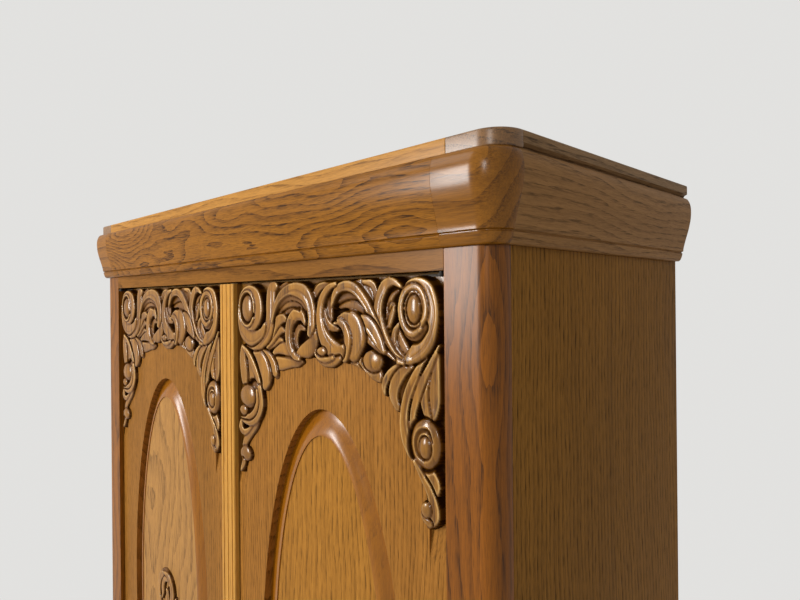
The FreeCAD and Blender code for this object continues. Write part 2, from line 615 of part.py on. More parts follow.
def eye_plate(z):
    """Eye of the right door's pivot, with the leg that lies in the door's end."""
    ring = Part.makeCylinder(pivot_eye_radius, pivot_plate_thickness, Vector(pivot_x, pivot_y, z))
    leg_rear = door_face + eye_plate_setback + eye_plate_depth
    arm = box(pivot_x - pivot_eye_radius, pivot_x + pivot_eye_radius, pivot_y, leg_rear,
              z, z + pivot_plate_thickness)
    leg = box(pivot_x + pivot_eye_radius - eye_plate_length, pivot_x,
              door_face + eye_plate_setback, leg_rear, z, z + pivot_plate_thickness)
    return ring.multiFuse([arm, leg]).removeSplitter()


def eye_plates():
    """Both eyes of the right door."""
    return [eye_plate(door_top - pivot_plate_thickness), eye_plate(door_bottom)]


def bored_eye_plates():
    """Both eyes of the right door with their bores."""
    bore = Part.makeCylinder(pivot_pin_radius + pivot_clearance, door_top,
                             Vector(pivot_x, pivot_y, door_bottom - cut_overrun))
    bore = bore.fuse(Part.makeCylinder(pivot_pin_radius + pivot_clearance, cut_overrun * 2,
                                       Vector(pivot_x, pivot_y, door_top - cut_overrun)))
    return [plate.cut(bore) for plate in eye_plates()]


def pivots():
    """Pins on the frame and eyes on the doors."""
    pins = [pivot_plate(carcass_top - top_rail_height, -1)[1],
            pivot_plate(base_top + bottom_rail_height, 1)[1]]
    save("frame_pivots", Part.makeCompound(pins + [mirrored(pin) for pin in pins]))
    eyes = bored_eye_plates()
    save("right_door_pivots", Part.makeCompound(eyes))
    save("left_door_pivots", Part.makeCompound([mirrored(eye) for eye in eyes]))


# Carving


def smooth(points):
    """More points along a stroke, on a curve through the drawn ones."""
    result = []
    last = len(points) - 1
    for index in range(last):
        p0 = points[max(index - 1, 0)]
        p1 = points[index]
        p2 = points[index + 1]
        p3 = points[min(index + 2, last)]
        for step in range(stroke_steps):
            t = step / stroke_steps
            result.append([0.5 * (2 * b + (c - a) * t + (2 * a - 5 * b + 4 * c - d) * t * t
                                  + (3 * b - a - 3 * c + d) * t * t * t)
                           for a, b, c, d in zip(p0, p1, p2, p3)])
    result.append(list(points[last]))
    return result


def stroke_face(points, share, unit, left, top, y):
    """Flat face of a stroke drawn with a share of its width."""
    run = smooth(points)
    right_side = []
    left_side = []
    for index, (x, z, half) in enumerate(run):
        before = run[max(index - 1, 0)]
        after = run[min(index + 1, len(run) - 1)]
        along = Vector(after[0] - before[0], 0, after[1] - before[1]).normalize()
        across = Vector(-along.z, 0, along.x) * (half * share)
        right_side.append(Vector(x + across.x, 0, z + across.z))
        left_side.append(Vector(x - across.x, 0, z - across.z))
    outline = right_side + left_side[::-1]
    places = [Vector(left + p.x * unit, y, top - p.z * unit) for p in outline]
    return Part.Face(Part.makePolygon(places + [places[0]]))


def layer(strokes, share, unit, left, top, y, depth):
    """All strokes at one share of their width as one flat layer that is depth thick."""
    faces = [stroke_face(stroke, share, unit, left, top, y) for stroke in strokes]
    merged = faces[0].multiFuse(faces[1:])
    merged = Part.Shell(merged.Faces).removeSplitter()
    return [face.extrude(Vector(0, depth, 0)) for face in merged.Faces]


def eye(shares, unit, left, top, front, rear):
    """Rounded swelling of the carving."""
    x, z, half_x, half_z = [share * unit for share in shares]
    major = max(half_x, half_z)
    minor = min(half_x, half_z)
    ellipse = Part.Ellipse(Vector(0, 0, 0), major, minor)
    edge = ellipse.toShape()
    edge.rotate(Vector(0, 0, 0), Vector(1, 0, 0), 90)
    if half_z > half_x:
        edge.rotate(Vector(0, 0, 0), Vector(0, 1, 0), 90)
    solid = Part.Face(Part.Wire([edge])).extrude(Vector(0, rear - front, 0))
    rim = [e for e in solid.Edges if e.BoundBox.YMax < (rear - front) / 2]
    solid = solid.makeFillet(min(eye_rounding, minor * 0.5), rim)
    solid.translate(Vector(left + x, front, top - z))
    return solid


def carving():
    """Scroll carving of a door whose field starts at X = 0."""
    unit = (field_width - carving_margin) / 100
    low = door_face - relief_low
    high = door_face - relief_high
    rear = door_face + ground_depth
    pieces = layer(stroke_shares, 1, unit, 0, door_top, low, rear - low)
    pieces += layer(stroke_shares, stroke_core_share, unit, 0, door_top, high, low - high)
    for shares in eye_shares:
        pieces.append(eye(shares, unit, 0, door_top, door_face - eye_height, rear))
    return pieces[0].multiFuse(pieces[1:])


def carving_ground():
    """The sunk ground under the carving, which runs out below each tail."""
    unit = (field_width - carving_margin) / 100
    places = [Vector(x * unit, door_face - cut_overrun, door_top - z * unit)
              for x, z in ground_outline_shares]
    ground = prism(places, Vector(0, cut_overrun + ground_depth, 0))
    start = door_top - ground_run_start_share * unit
    end = door_top - ground_run_out_share * unit
    far = field_width + cut_overrun
    wedges = []
    for x0, x1 in ((-cut_overrun, ground_run_left_share * unit), (ground_run_right_share * unit, far)):
        outline = [Vector(x0, door_face + ground_depth, start), Vector(x0, door_face, end),
                   Vector(x0, door_face - cut_overrun, end), Vector(x0, door_face - cut_overrun, start)]
        wedges.append(prism(outline, Vector(x1 - x0, 0, 0)))
    return ground.multiFuse(wedges)


def ornament():
    """Leaf ornament in the middle of an oval panel."""
    unit = ornament_height / 100
    front = door_face + oval_panel_step - ornament_relief
    depth = ornament_relief
    middle_x = field_width / 2
    pieces = layer(ornament_stroke_shares, 1, unit, middle_x, door_middle, front + depth / 2, depth / 2)
    pieces += layer(ornament_stroke_shares, stroke_core_share, unit, middle_x, door_middle, front, depth / 2)
    return pieces[0].multiFuse(pieces[1:])


# Doors


def ellipse_wire(middle_x, half_x, half_z, y):
    """Upright ellipse as a closed wire."""
    edge = Part.Ellipse(Vector(0, 0, 0), half_z, half_x).toShape()
    edge.rotate(Vector(0, 0, 0), Vector(1, 0, 0), 90)
    edge.rotate(Vector(0, 0, 0), Vector(0, 1, 0), 90)
    edge.translate(Vector(middle_x, y, door_middle))
    return Part.Wire([edge])


def ellipse_prism(middle_x, half_x, half_z, y0, y1):
    """Solid with an upright ellipse as its outline."""
    return Part.Face(ellipse_wire(middle_x, half_x, half_z, y0)).extrude(Vector(0, y1 - y0, 0))


def oval_halves():
    """Half width and half height of the oval opening."""
    return field_width / 2 - oval_side_margin, (door_top - door_bottom) / 2 - oval_top_margin


def oval_moulding():
    """Oval moulding: a deep outer edge that rises to a bead round the panel, in four lengths."""
    half_x, half_z = oval_halves()
    middle_x = field_width / 2
    rear = door_face + door_board
    ring = ellipse_prism(middle_x, half_x, half_z, door_face + oval_depth, rear)
    slope_width = oval_band - oval_bead_width
    rings = []
    for across, rise in oval_rise_shares:
        inset = across * slope_width
        y = door_face + oval_depth - rise * (oval_depth + oval_bead_height)
        rings.append(ellipse_wire(middle_x, half_x - inset, half_z - inset, y))
    slope = Part.makeLoft(rings, True, True)
    hole = ellipse_prism(middle_x, half_x - oval_band, half_z - oval_band,
                         door_face - cut_overrun - oval_bead_height, rear + cut_overrun)
    solid = ring.fuse(slope).cut(hole)
    x0 = middle_x - half_x - cut_overrun
    x1 = middle_x + half_x + cut_overrun
    z0 = door_bottom
    z1 = door_top
    y0 = door_face - cut_overrun
    y1 = rear + cut_overrun
    quarters = []
    for a, b in ((x0, middle_x), (middle_x, x1)):
        for c, d in ((z0, door_middle), (door_middle, z1)):
            quarters.append(solid.common(box(a, b, y0, y1, c, d)))
    return Part.makeCompound(quarters)


def shared_door_pieces():
    """What both doors have alike, in a field that starts at X = 0."""
    half_x, half_z = oval_halves()
    middle_x = field_width / 2
    rear = door_face + door_board
    opening = ellipse_prism(middle_x, half_x, half_z, door_face - cut_overrun, rear + cut_overrun)
    panel = ellipse_prism(middle_x, half_x - oval_band, half_z - oval_band, door_face + oval_panel_step, rear)
    return {"opening": opening, "ground": carving_ground(), "oval_moulding": oval_moulding(),
            "oval_panel": panel, "carving": carving(), "leaf_ornament": ornament()}


def door_set(side, x0, x1, left, shared):
    """Board, sheet, oval, panel, carving and ornament of the door whose field starts at X = left."""
    def placed(name):
        shape = shared[name].copy()
        shape.translate(Vector(left, 0, 0))
        return shape

    rear = door_face + door_board
    board = box(x0, x1, door_face, rear, door_bottom, door_top)
    board = board.cut(placed("opening")).cut(placed("ground"))
    sheet = box(x0, x1, rear, door_rear, door_bottom, door_top)
    plates = [plate if side == "right" else mirrored(plate) for plate in eye_plates()]
    board = board.cut(plates)
    if side == "right":
        board = board.cut(keyhole(door_face - cut_overrun, rear + cut_overrun))
        sheet = sheet.cut(keyhole(rear - cut_overrun, door_rear + cut_overrun))
    save(side + "_door_board", board)
    save(side + "_door_back", sheet)
    save(side + "_carving", placed("carving").cut([board] + plates))
    for name in ("oval_moulding", "oval_panel", "leaf_ornament"):
        save(side + "_" + name, placed(name))


def centre_strip():
    """Strip that covers the left door's meeting edge."""
    front = door_face - strip_thickness
    strip = box(-field_start, field_start, front, door_face, door_bottom, door_top)
    edges = [edge for edge in strip.Edges
             if edge.BoundBox.YMax < front + cut_overrun and edge.BoundBox.ZLength > strip_width]
    strip = strip.makeFillet(strip_rounding, edges)
    for share in strip_groove_shares:
        x = strip_width * share - field_start
        groove = box(x - strip_groove_width / 2, x + strip_groove_width / 2,
                     front - cut_overrun, front + strip_groove_depth,
                     door_bottom - cut_overrun, door_top + cut_overrun)
        strip = strip.cut(groove)
    save("centre_strip", strip)


# Lock


def keyhole(y0, y1):
    """Round hole with a slot below it, for the key and its bit."""
    hole = Part.makeCylinder(key_bore_radius, y1 - y0, Vector(key_x, y0, door_middle), Vector(0, 1, 0))
    slot = box(key_x - key_slot_half_width, key_x + key_slot_half_width, y0, y1,
               door_middle - key_slot_drop, door_middle)
    return hole.fuse(slot)


def lock_bolt():
    """Flat bolt of the lock, drawn back into the case at rest."""
    x0 = right_door_edge + lock_edge_gap
    y0 = door_rear + lock_wall + lock_running_gap
    z0 = door_middle + lock_bolt_rise
    return box(x0, x0 + lock_bolt_length, y0, y0 + lock_bolt_thickness, z0, z0 + lock_bolt_height)


def lock_case():
    """Hollow lock case with a guide for the bolt and a chamber for the key's bit."""
    x0 = right_door_edge + lock_edge_gap
    z0 = door_middle - lock_height / 2
    case = box(x0, x0 + lock_width, door_rear, door_rear + lock_thickness, z0, z0 + lock_height)
    bolt_room = lock_bolt().BoundBox
    guide = box(x0 - cut_overrun, x0 + lock_width - lock_wall,
                bolt_room.YMin - lock_running_gap, bolt_room.YMax + lock_running_gap,
                bolt_room.ZMin - lock_running_gap, bolt_room.ZMax + lock_running_gap)
    chamber = Part.makeCylinder(key_chamber_radius, lock_thickness - 2 * lock_wall,
                                Vector(key_x, door_rear + lock_wall, door_middle), Vector(0, 1, 0))
    fit = Part.makeCylinder(key_shank_radius + key_fit_clearance, lock_thickness,
                            Vector(key_x, door_rear - cut_overrun, door_middle), Vector(0, 1, 0))
    return case.cut(guide).cut(chamber).cut(fit)


def lock_keeper():
    """Keeper on the left door's inner face that takes the bolt."""
    bolt_room = lock_bolt().BoundBox
    middle = (bolt_room.ZMin + bolt_room.ZMax) / 2
    x1 = field_start - keeper_edge_gap
    keeper = box(x1 - keeper_length, x1, door_rear, bolt_room.YMax + keeper_pocket_gap + keeper_wall,
                 middle - keeper_height / 2, middle + keeper_height / 2)
    pocket = box(x1 - keeper_length + keeper_wall, x1 + cut_overrun,
                 bolt_room.YMin - keeper_pocket_gap, bolt_room.YMax + keeper_pocket_gap,
                 bolt_room.ZMin - keeper_pocket_gap, bolt_room.ZMax + keeper_pocket_gap)
    return keeper.cut(pocket)


def key():
    """Key with its bow, collar, shank and bit."""
    tip = door_rear + lock_wall + lock_running_gap + key_bit_length
    start = door_face - escutcheon_thickness - key_collar_length - lock_running_gap
    shank = Part.makeCylinder(key_shank_radius, tip - start, Vector(key_x, start, door_middle),
                              Vector(0, 1, 0))
    collar = Part.makeCylinder(key_collar_radius, key_collar_length, Vector(key_x, start, door_middle),
                               Vector(0, 1, 0))
    bit = box(key_x - key_bit_thickness / 2, key_x + key_bit_thickness / 2, tip - key_bit_length, tip,
              door_middle - key_bit_drop, door_middle)
    bow_y = door_face - key_reach + key_bow_radius
    bow = Part.makeTorus(key_bow_radius - key_bow_wire, key_bow_wire, Vector(key_x, bow_y, door_middle),
                         Vector(1, 0, 0))
    neck_start = bow_y + key_bow_radius - 2 * key_bow_wire
    neck = Part.makeCylinder(key_shank_radius, start - neck_start, Vector(key_x, neck_start, door_middle),
                             Vector(0, 1, 0))
    return shank.multiFuse([collar, bit, bow, neck]).removeSplitter()


def escutcheon():
    """Oval plate round the keyhole."""
    plate = Part.Ellipse(Vector(0, 0, 0), escutcheon_half_height, escutcheon_half_width).toShape()
    plate.rotate(Vector(0, 0, 0), Vector(1, 0, 0), 90)
    plate.rotate(Vector(0, 0, 0), Vector(0, 1, 0), 90)
    plate.translate(Vector(key_x, door_face - escutcheon_thickness, door_middle))
    plate = Part.Face(Part.Wire([plate])).extrude(Vector(0, escutcheon_thickness, 0))
    return plate.cut(keyhole(door_face - cut_overrun, door_face + cut_overrun))


def lock():
    """Lock case, bolt, keeper, key and escutcheon."""
    save("lock_case", lock_case())
    save("lock_bolt", lock_bolt())
    save("lock_keeper", lock_keeper())
    save("key", key())
    save("escutcheon", escutcheon())


# Slide bolts


def slide_socket(z0, z1):
    """Hole that takes the end of a slide bolt."""
    half = slide_bar_width / 2 + slide_socket_gap
    return box(slide_x - half, slide_x + half, slide_rear - slide_socket_gap,
               slide_rear + slide_running_gap + slide_bar_thickness + slide_socket_gap,
               z0 - cut_overrun, z1 + cut_overrun)


def slide_bar(end, up):
    """Bar of a slide bolt with its knob, from its mouth end inwards."""
    far = end - up * slide_bar_length
    bar = box(slide_x - slide_bar_width / 2, slide_x + slide_bar_width / 2,
              slide_rear + slide_running_gap, slide_rear + slide_running_gap + slide_bar_thickness,
              min(end, far), max(end, far))
    knob_z = end - up * (slide_plate_offset + slide_plate_length / 2)
    knob = Part.makeCylinder(slide_knob_radius, slide_knob_length,
                             Vector(slide_x, slide_rear + slide_running_gap + slide_bar_thickness, knob_z),
                             Vector(0, 1, 0))
    return bar.fuse(knob)


def slide_guides(end, up):
    """Plate of a slide bolt with the two loops that hold its bar."""
    near = end - up * slide_plate_offset
    far = near - up * slide_plate_length
    half = slide_plate_width / 2
    plate = box(slide_x - half, slide_x + half, door_rear, slide_rear, min(near, far), max(near, far))
    room = slide_bar_width / 2 + slide_running_gap
    rear = slide_rear + slide_bar_thickness + 2 * slide_running_gap
    loops = []
    for z in (min(near, far), max(near, far) - slide_guide_height):
        outer = box(slide_x - room - slide_guide_wall, slide_x + room + slide_guide_wall,
                    slide_rear, rear + slide_guide_wall, z, z + slide_guide_height)
        inner = box(slide_x - room, slide_x + room, slide_rear, rear,
                    z - cut_overrun, z + slide_guide_height + cut_overrun)
        loops.append(outer.cut(inner))
    return plate.multiFuse(loops)


def slide_bolts():
    """Top and bottom slide bolts and their guides."""
    top_end = stop_bottom - slide_mouth_gap
    bottom_end = bottom_board_top + slide_mouth_gap
    save("top_bolt", slide_bar(top_end, 1))
    save("bottom_bolt", slide_bar(bottom_end, -1))
    save("bolt_guides", Part.makeCompound([slide_guides(top_end, 1), slide_guides(bottom_end, -1)]))


# Build every piece
feet()
base()
carcass()
back()
shelves()
cornice()
top_board()
pivots()
door_pieces = shared_door_pieces()
door_set("left", door_side_gap - post_inner, field_start, -post_inner, door_pieces)
door_set("right", right_door_edge, post_inner - door_side_gap, field_start, door_pieces)
centre_strip()
lock()
slide_bolts()
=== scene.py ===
from functools import partial
import json
import math

import bmesh
import bpy
import numpy as np
from mathutils import Matrix, Vector


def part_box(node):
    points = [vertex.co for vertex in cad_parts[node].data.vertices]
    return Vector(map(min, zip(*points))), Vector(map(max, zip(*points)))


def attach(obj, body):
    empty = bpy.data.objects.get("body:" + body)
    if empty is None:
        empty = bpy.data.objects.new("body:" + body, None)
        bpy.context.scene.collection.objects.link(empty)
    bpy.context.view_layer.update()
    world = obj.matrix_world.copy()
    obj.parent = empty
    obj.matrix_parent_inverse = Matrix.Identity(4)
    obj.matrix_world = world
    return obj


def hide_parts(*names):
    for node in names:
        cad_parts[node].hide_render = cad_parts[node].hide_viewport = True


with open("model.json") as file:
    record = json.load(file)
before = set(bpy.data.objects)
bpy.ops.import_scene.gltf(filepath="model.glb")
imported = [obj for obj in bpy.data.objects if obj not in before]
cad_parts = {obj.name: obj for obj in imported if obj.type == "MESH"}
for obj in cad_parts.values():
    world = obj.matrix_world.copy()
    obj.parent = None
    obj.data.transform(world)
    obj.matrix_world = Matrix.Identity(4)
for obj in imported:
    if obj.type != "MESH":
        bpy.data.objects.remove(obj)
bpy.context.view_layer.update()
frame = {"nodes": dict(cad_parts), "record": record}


# Bun feet: four turned oak feet, darker than the rest from years of floor wax.
# Each is turned from one block and tenoned up into a corner of the plinth.

# waves per metre across, across and along the grain
RING_WANDER = (4.0, 4.0, 2.2)
RING_UNEVENNESS = (90.0, 90.0, 9.0)
PORE_DASHES = (560.0, 560.0, 38.0)
FINE_PORES = (1300.0, 1300.0, 60.0)
FIBRES = (420.0, 420.0, 9.0)
STREAKS = (95.0, 95.0, 2.2)
STAIN_CLOUDS = (9.0, 9.0, 2.4)
# how strongly they show, and where the pores begin and are full
PORE_EDGE = (0.46, 0.62)
FINE_PORE_EDGE = (0.56, 0.68)
RING_SHARPNESS = 2.5
RING_MIDDLE = 0.42
FIBRE_SHARE = 0.85
STREAK_SHARE = 0.75
PALE_SHARE = 0.6
PORE_DARKNESS = 0.3
BASE_ROUGHNESS = 0.36
GRAIN_DEPTH = 0.0006
GRAIN_TURNS = {"Z": (0.0, 0.0, 0.0), "X": (0.0, math.radians(90), 0.0), "Y": (math.radians(-90), 0.0, 0.0)}


def feed(tree, value, socket):
    """Set a socket to a plain value, or join it to another socket."""
    if isinstance(value, bpy.types.NodeSocket):
        tree.links.new(value, socket)
    else:
        socket.default_value = value


def reckoned(tree, operation, first, second=0.0, clamp=False, kind="ShaderNodeMath"):
    """A number worked out from two others, or a place from two places."""
    node = tree.nodes.new(kind)
    node.operation = operation
    if clamp:
        node.use_clamp = True
    feed(tree, first, node.inputs[0])
    feed(tree, second, node.inputs[1])
    return node.outputs[0]


def ranged(tree, value, start, end, first=0.0, last=1.0):
    """From first to last while a value goes from start to end."""
    node = tree.nodes.new("ShaderNodeMapRange")
    for name, number in (("From Min", start), ("From Max", end), ("To Min", first), ("To Max", last)):
        node.inputs[name].default_value = number
    tree.links.new(value, node.inputs["Value"])
    return node.outputs[0]


def blended(tree, share, first, second):
    """A colour between two others."""
    node = tree.nodes.new("ShaderNodeMix")
    node.data_type = "RGBA"
    tree.links.new(share, node.inputs["Factor"])
    feed(tree, first, node.inputs["A"])
    feed(tree, second, node.inputs["B"])
    return node.outputs["Result"]


def raised(tree, height, strength, depth):
    """Fine unevenness of a material's surface."""
    node = tree.nodes.new("ShaderNodeBump")
    node.inputs["Strength"].default_value = strength
    node.inputs["Distance"].default_value = depth
    tree.links.new(height, node.inputs["Height"])
    tree.links.new(node.outputs[0], tree.nodes["Principled BSDF"].inputs["Normal"])


def new_material(name):
    """A material with its nodes and its surface."""
    material = bpy.data.materials.new(name)
    material.use_nodes = True
    return material, material.node_tree, material.node_tree.nodes["Principled BSDF"]


def oak_grain_group():
    """Sawn oak: growth rings with rows of open pores, fibres and uneven stain, with the pith along Z."""
    group = bpy.data.node_groups.new("oak_grain", "ShaderNodeTree")
    sockets = group.interface
    sockets.new_socket("Place", in_out="INPUT", socket_type="NodeSocketVector")
    for name in ("Light", "Dark", "Pore"):
        sockets.new_socket(name, in_out="INPUT", socket_type="NodeSocketColor")
    for name in ("Rings", "Sweep", "Contrast", "Pores", "Stain"):
        sockets.new_socket(name, in_out="INPUT", socket_type="NodeSocketFloat")
    sockets.new_socket("Color", in_out="OUTPUT", socket_type="NodeSocketColor")
    sockets.new_socket("Roughness", in_out="OUTPUT", socket_type="NodeSocketFloat")
    sockets.new_socket("Height", in_out="OUTPUT", socket_type="NodeSocketFloat")
    nodes, links = group.nodes, group.links
    given = nodes.new("NodeGroupInput")
    result = nodes.new("NodeGroupOutput")
    number = partial(reckoned, group)
    place = partial(reckoned, group, kind="ShaderNodeVectorMath")

    def noise(waves, detail, rough=0.5, output="Fac"):
        node = nodes.new("ShaderNodeTexNoise")
        node.inputs["Scale"].default_value = 1.0
        node.inputs["Detail"].default_value = detail
        node.inputs["Roughness"].default_value = rough
        links.new(place("MULTIPLY", given.outputs["Place"], waves), node.inputs["Vector"])
        return node.outputs[output]

    # growth rings round a pith that wanders along the board
    wander = place("SUBTRACT", noise(RING_WANDER, 2.0, output="Color"), (0.5, 0.5, 0.5))
    swept = nodes.new("ShaderNodeVectorMath")
    swept.operation = "SCALE"
    links.new(wander, swept.inputs[0])
    links.new(given.outputs["Sweep"], swept.inputs["Scale"])
    parts = nodes.new("ShaderNodeSeparateXYZ")
    links.new(place("ADD", given.outputs["Place"], swept.outputs[0]), parts.inputs[0])
    along_x, along_y = parts.outputs["X"], parts.outputs["Y"]
    radius = number("SQRT", number("ADD", number("MULTIPLY", along_x, along_x),
                                   number("MULTIPLY", along_y, along_y)))
    unsteady = number("MULTIPLY", number("SUBTRACT", noise(RING_UNEVENNESS, 2.0), 0.5), 0.004)
    years = number("MULTIPLY", number("ADD", radius, unsteady), given.outputs["Rings"])
    early = number("POWER", number("FRACT", years), RING_SHARPNESS)

    # rows of pores in the early wood, fibres, long streaks and stain
    dashes = ranged(group, noise(PORE_DASHES, 2.0, 0.6), *PORE_EDGE)
    fine_pores = ranged(group, noise(FINE_PORES, 1.0), *FINE_PORE_EDGE)
    in_early_wood = number("ADD", number("MULTIPLY", early, 1.1), 0.18)
    rows = number("MULTIPLY", dashes, in_early_wood, clamp=True)
    pores = number("MAXIMUM", rows, number("MULTIPLY", fine_pores, 0.55))
    pores = number("MULTIPLY", pores, given.outputs["Pores"], clamp=True)
    fibre = number("SUBTRACT", noise(FIBRES, 4.0, 0.65), 0.5)
    streak = number("SUBTRACT", noise(STREAKS, 3.0, 0.6), 0.5)
    stain = number("SUBTRACT", noise(STAIN_CLOUDS, 3.0), 0.5)

    shade = number("MULTIPLY", number("SUBTRACT", RING_MIDDLE, early), given.outputs["Contrast"])
    shade = number("ADD", shade, number("MULTIPLY", fibre, FIBRE_SHARE))
    shade = number("ADD", shade, number("MULTIPLY", streak, STREAK_SHARE))
    shade = number("ADD", shade, number("MULTIPLY", stain, given.outputs["Stain"]))
    shade = number("ADD", shade, PALE_SHARE, clamp=True)
    wood = blended(group, shade, given.outputs["Dark"], given.outputs["Light"])
    links.new(blended(group, pores, wood, given.outputs["Pore"]), result.inputs["Color"])

    rough = number("ADD", number("MULTIPLY", pores, 0.2), number("MULTIPLY", stain, 0.15))
    links.new(number("ADD", rough, BASE_ROUGHNESS), result.inputs["Roughness"])
    height = number("SUBTRACT", number("MULTIPLY", fibre, 0.3), number("MULTIPLY", pores, 0.7))
    links.new(height, result.inputs["Height"])
    return group


oak_grain = oak_grain_group()


def oak(name, grain, light, dark, pith=(0.0, 0.0, 0.0), rings=90.0, sweep=0.03, contrast=0.5, pores=0.6,
        stain=0.5, coat=0.25, coat_rough=0.25, marks_and_shade=()):
    """Stained and varnished oak with its grain along one axis round the pith. Each of marks_and_shade is an
    attribute of the mesh, its strength and the colour that it gives; besides real marks these are painted
    shade and painted highlight."""
    material, tree, surface = new_material(name)
    nodes, links = tree.nodes, tree.links
    turn = nodes.new("ShaderNodeMapping")
    turn.vector_type = "TEXTURE"
    turn.inputs["Rotation"].default_value = GRAIN_TURNS[grain]
    turn.inputs["Location"].default_value = pith
    links.new(nodes.new("ShaderNodeTexCoord").outputs["Object"], turn.inputs["Vector"])
    wood = nodes.new("ShaderNodeGroup")
    wood.node_tree = oak_grain
    links.new(turn.outputs[0], wood.inputs["Place"])
    wood.inputs["Light"].default_value = (*light, 1.0)
    wood.inputs["Dark"].default_value = (*dark, 1.0)
    wood.inputs["Pore"].default_value = (*[PORE_DARKNESS * part for part in dark], 1.0)
    for socket, value in (("Rings", rings), ("Sweep", sweep), ("Contrast", contrast), ("Pores", pores),
                          ("Stain", stain)):
        wood.inputs[socket].default_value = value
    colour = wood.outputs["Color"]
    for place_on_mesh, amount, tint in marks_and_shade:
        source = nodes.new("ShaderNodeAttribute")
        source.attribute_name = place_on_mesh
        share = reckoned(tree, "MULTIPLY", source.outputs["Fac"], amount)
        colour = blended(tree, share, colour, (*tint, 1.0))
        # painted shade: the hollows also lose their coat, so that no reflection shows in them
        if place_on_mesh == "hollows":
            coat_thinned_in_shade = ranged(tree, source.outputs["Fac"], 0.0, 0.7, coat, 0.0)
            links.new(coat_thinned_in_shade, surface.inputs["Coat Weight"])
    links.new(colour, surface.inputs["Base Color"])
    links.new(wood.outputs["Roughness"], surface.inputs["Roughness"])
    raised(tree, wood.outputs["Height"], 0.25, GRAIN_DEPTH)
    surface.inputs["Specular IOR Level"].default_value = 0.01
    surface.inputs["Coat Weight"].default_value = coat
    surface.inputs["Coat Roughness"].default_value = coat_rough
    return material


BODY_OF = {node: body for body, nodes in frame["record"]["behaviour"]["bodies"].items() for node in nodes}


def seat(piece, node):
    """Put a piece on its node's body in the node's place."""
    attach(piece, BODY_OF[node])
    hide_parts(node)
    return piece


def finished(bm, name, material):
    """A piece from its shaped mesh."""
    mesh = bpy.data.meshes.new(name)
    bm.to_mesh(mesh)
    bm.free()
    mesh.materials.append(material)
    piece = bpy.data.objects.new(name, mesh)
    bpy.context.scene.collection.objects.link(piece)
    return piece


# corners this near are one, faces this near lie on a plane, and the lip's outer
# edge is this wide and begins this far below the cut
SAME_CORNER = 0.00001
ON_PLANE = 0.0001
OUTER_EDGE = 0.004
BELOW_CUT = 0.0005


def planed(node, material, edge=0.0008, turn_limit=35.0, joints=(), undercut=0.0):
    """A node's own shape with smooth curves and eased edges. Its lengths are glued at the planes in joints,
    each an axis and a place, and undercut hollows out its lower outer edge by that much."""
    bm = bmesh.new()
    bm.from_mesh(frame["nodes"][node].data)
    bmesh.ops.remove_doubles(bm, verts=bm.verts, dist=SAME_CORNER)
    for axis, place in joints:
        glued = [face for face in bm.faces
                 if all(abs(vert.co[axis] - place) < ON_PLANE for vert in face.verts)]
        bmesh.ops.delete(bm, geom=glued, context="FACES")
    if undercut:
        (low_x, _, low_z), (high_x, _, _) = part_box(node)
        outside = low_x if low_x < 0 else high_x
        bmesh.ops.bisect_plane(bm, geom=bm.verts[:] + bm.edges[:] + bm.faces[:], dist=SAME_CORNER,
                               plane_co=(0.0, 0.0, low_z + undercut), plane_no=(0.0, 0.0, 1.0))
        for vert in bm.verts:
            if vert.co.z < low_z + undercut - BELOW_CUT and abs(vert.co.x - outside) < OUTER_EDGE:
                vert.co.x = outside - math.copysign(undercut, outside)
    bmesh.ops.dissolve_limit(bm, angle_limit=math.radians(0.5), verts=bm.verts, edges=bm.edges)
    for face in bm.faces:
        face.smooth = True
        face.material_index = 0
    piece = finished(bm, node + "_wood", material)
    mesh = piece.data
    if "custom_normal" in mesh.attributes:
        mesh.attributes.remove(mesh.attributes["custom_normal"])
    mesh.set_sharp_from_angle(angle=math.radians(turn_limit))
    if edge:
        easing = piece.modifiers.new("eased edges", "BEVEL")
        easing.width = edge
        easing.segments = 2
        easing.limit_method = "ANGLE"
        easing.angle_limit = math.radians(turn_limit)
        easing.harden_normals = True
    return seat(piece, node)


planed("bun_feet", oak("foot oak", "Z", (0.2, 0.085, 0.014), (0.08, 0.03, 0.005), (0.2, 0.1, 0.0),
                       contrast=0.35), 0.0)


# Plinth: an oak moulding round the front and the sides with solid rounded corners.
# It is glued and blocked to the carcass, and a plain rail closes it at the back.

PLINTH_LIGHT = (0.26, 0.105, 0.016)
PLINTH_DARK = (0.11, 0.04, 0.006)
for node in ("plinth_front", "plinth_corner_left", "plinth_corner_right"):
    planed(node, oak(node + " oak", "X", PLINTH_LIGHT, PLINTH_DARK, (0.0, -0.12, 0.17),
                     rings=150, sweep=0.08))
for node in ("plinth_side_left", "plinth_side_right"):
    planed(node, oak(node + " oak", "Y", PLINTH_LIGHT, PLINTH_DARK, (0.0, 0.0, 0.1), rings=110, sweep=0.06))
inside_oak = {axis: oak("inside oak " + axis, axis, (0.5, 0.31, 0.13), (0.34, 0.19, 0.07), (0.1, 0.12, 0.6),
                        coat=0.0, stain=0.3, contrast=0.35) for axis in "XYZ"}
planed("plinth_rear_rail", inside_oak["X"])


# Carcass: rounded corner posts, plain sides, rails over and under the doors, and
# the boards they hold. The outside is stained and varnished, the inside is bare.

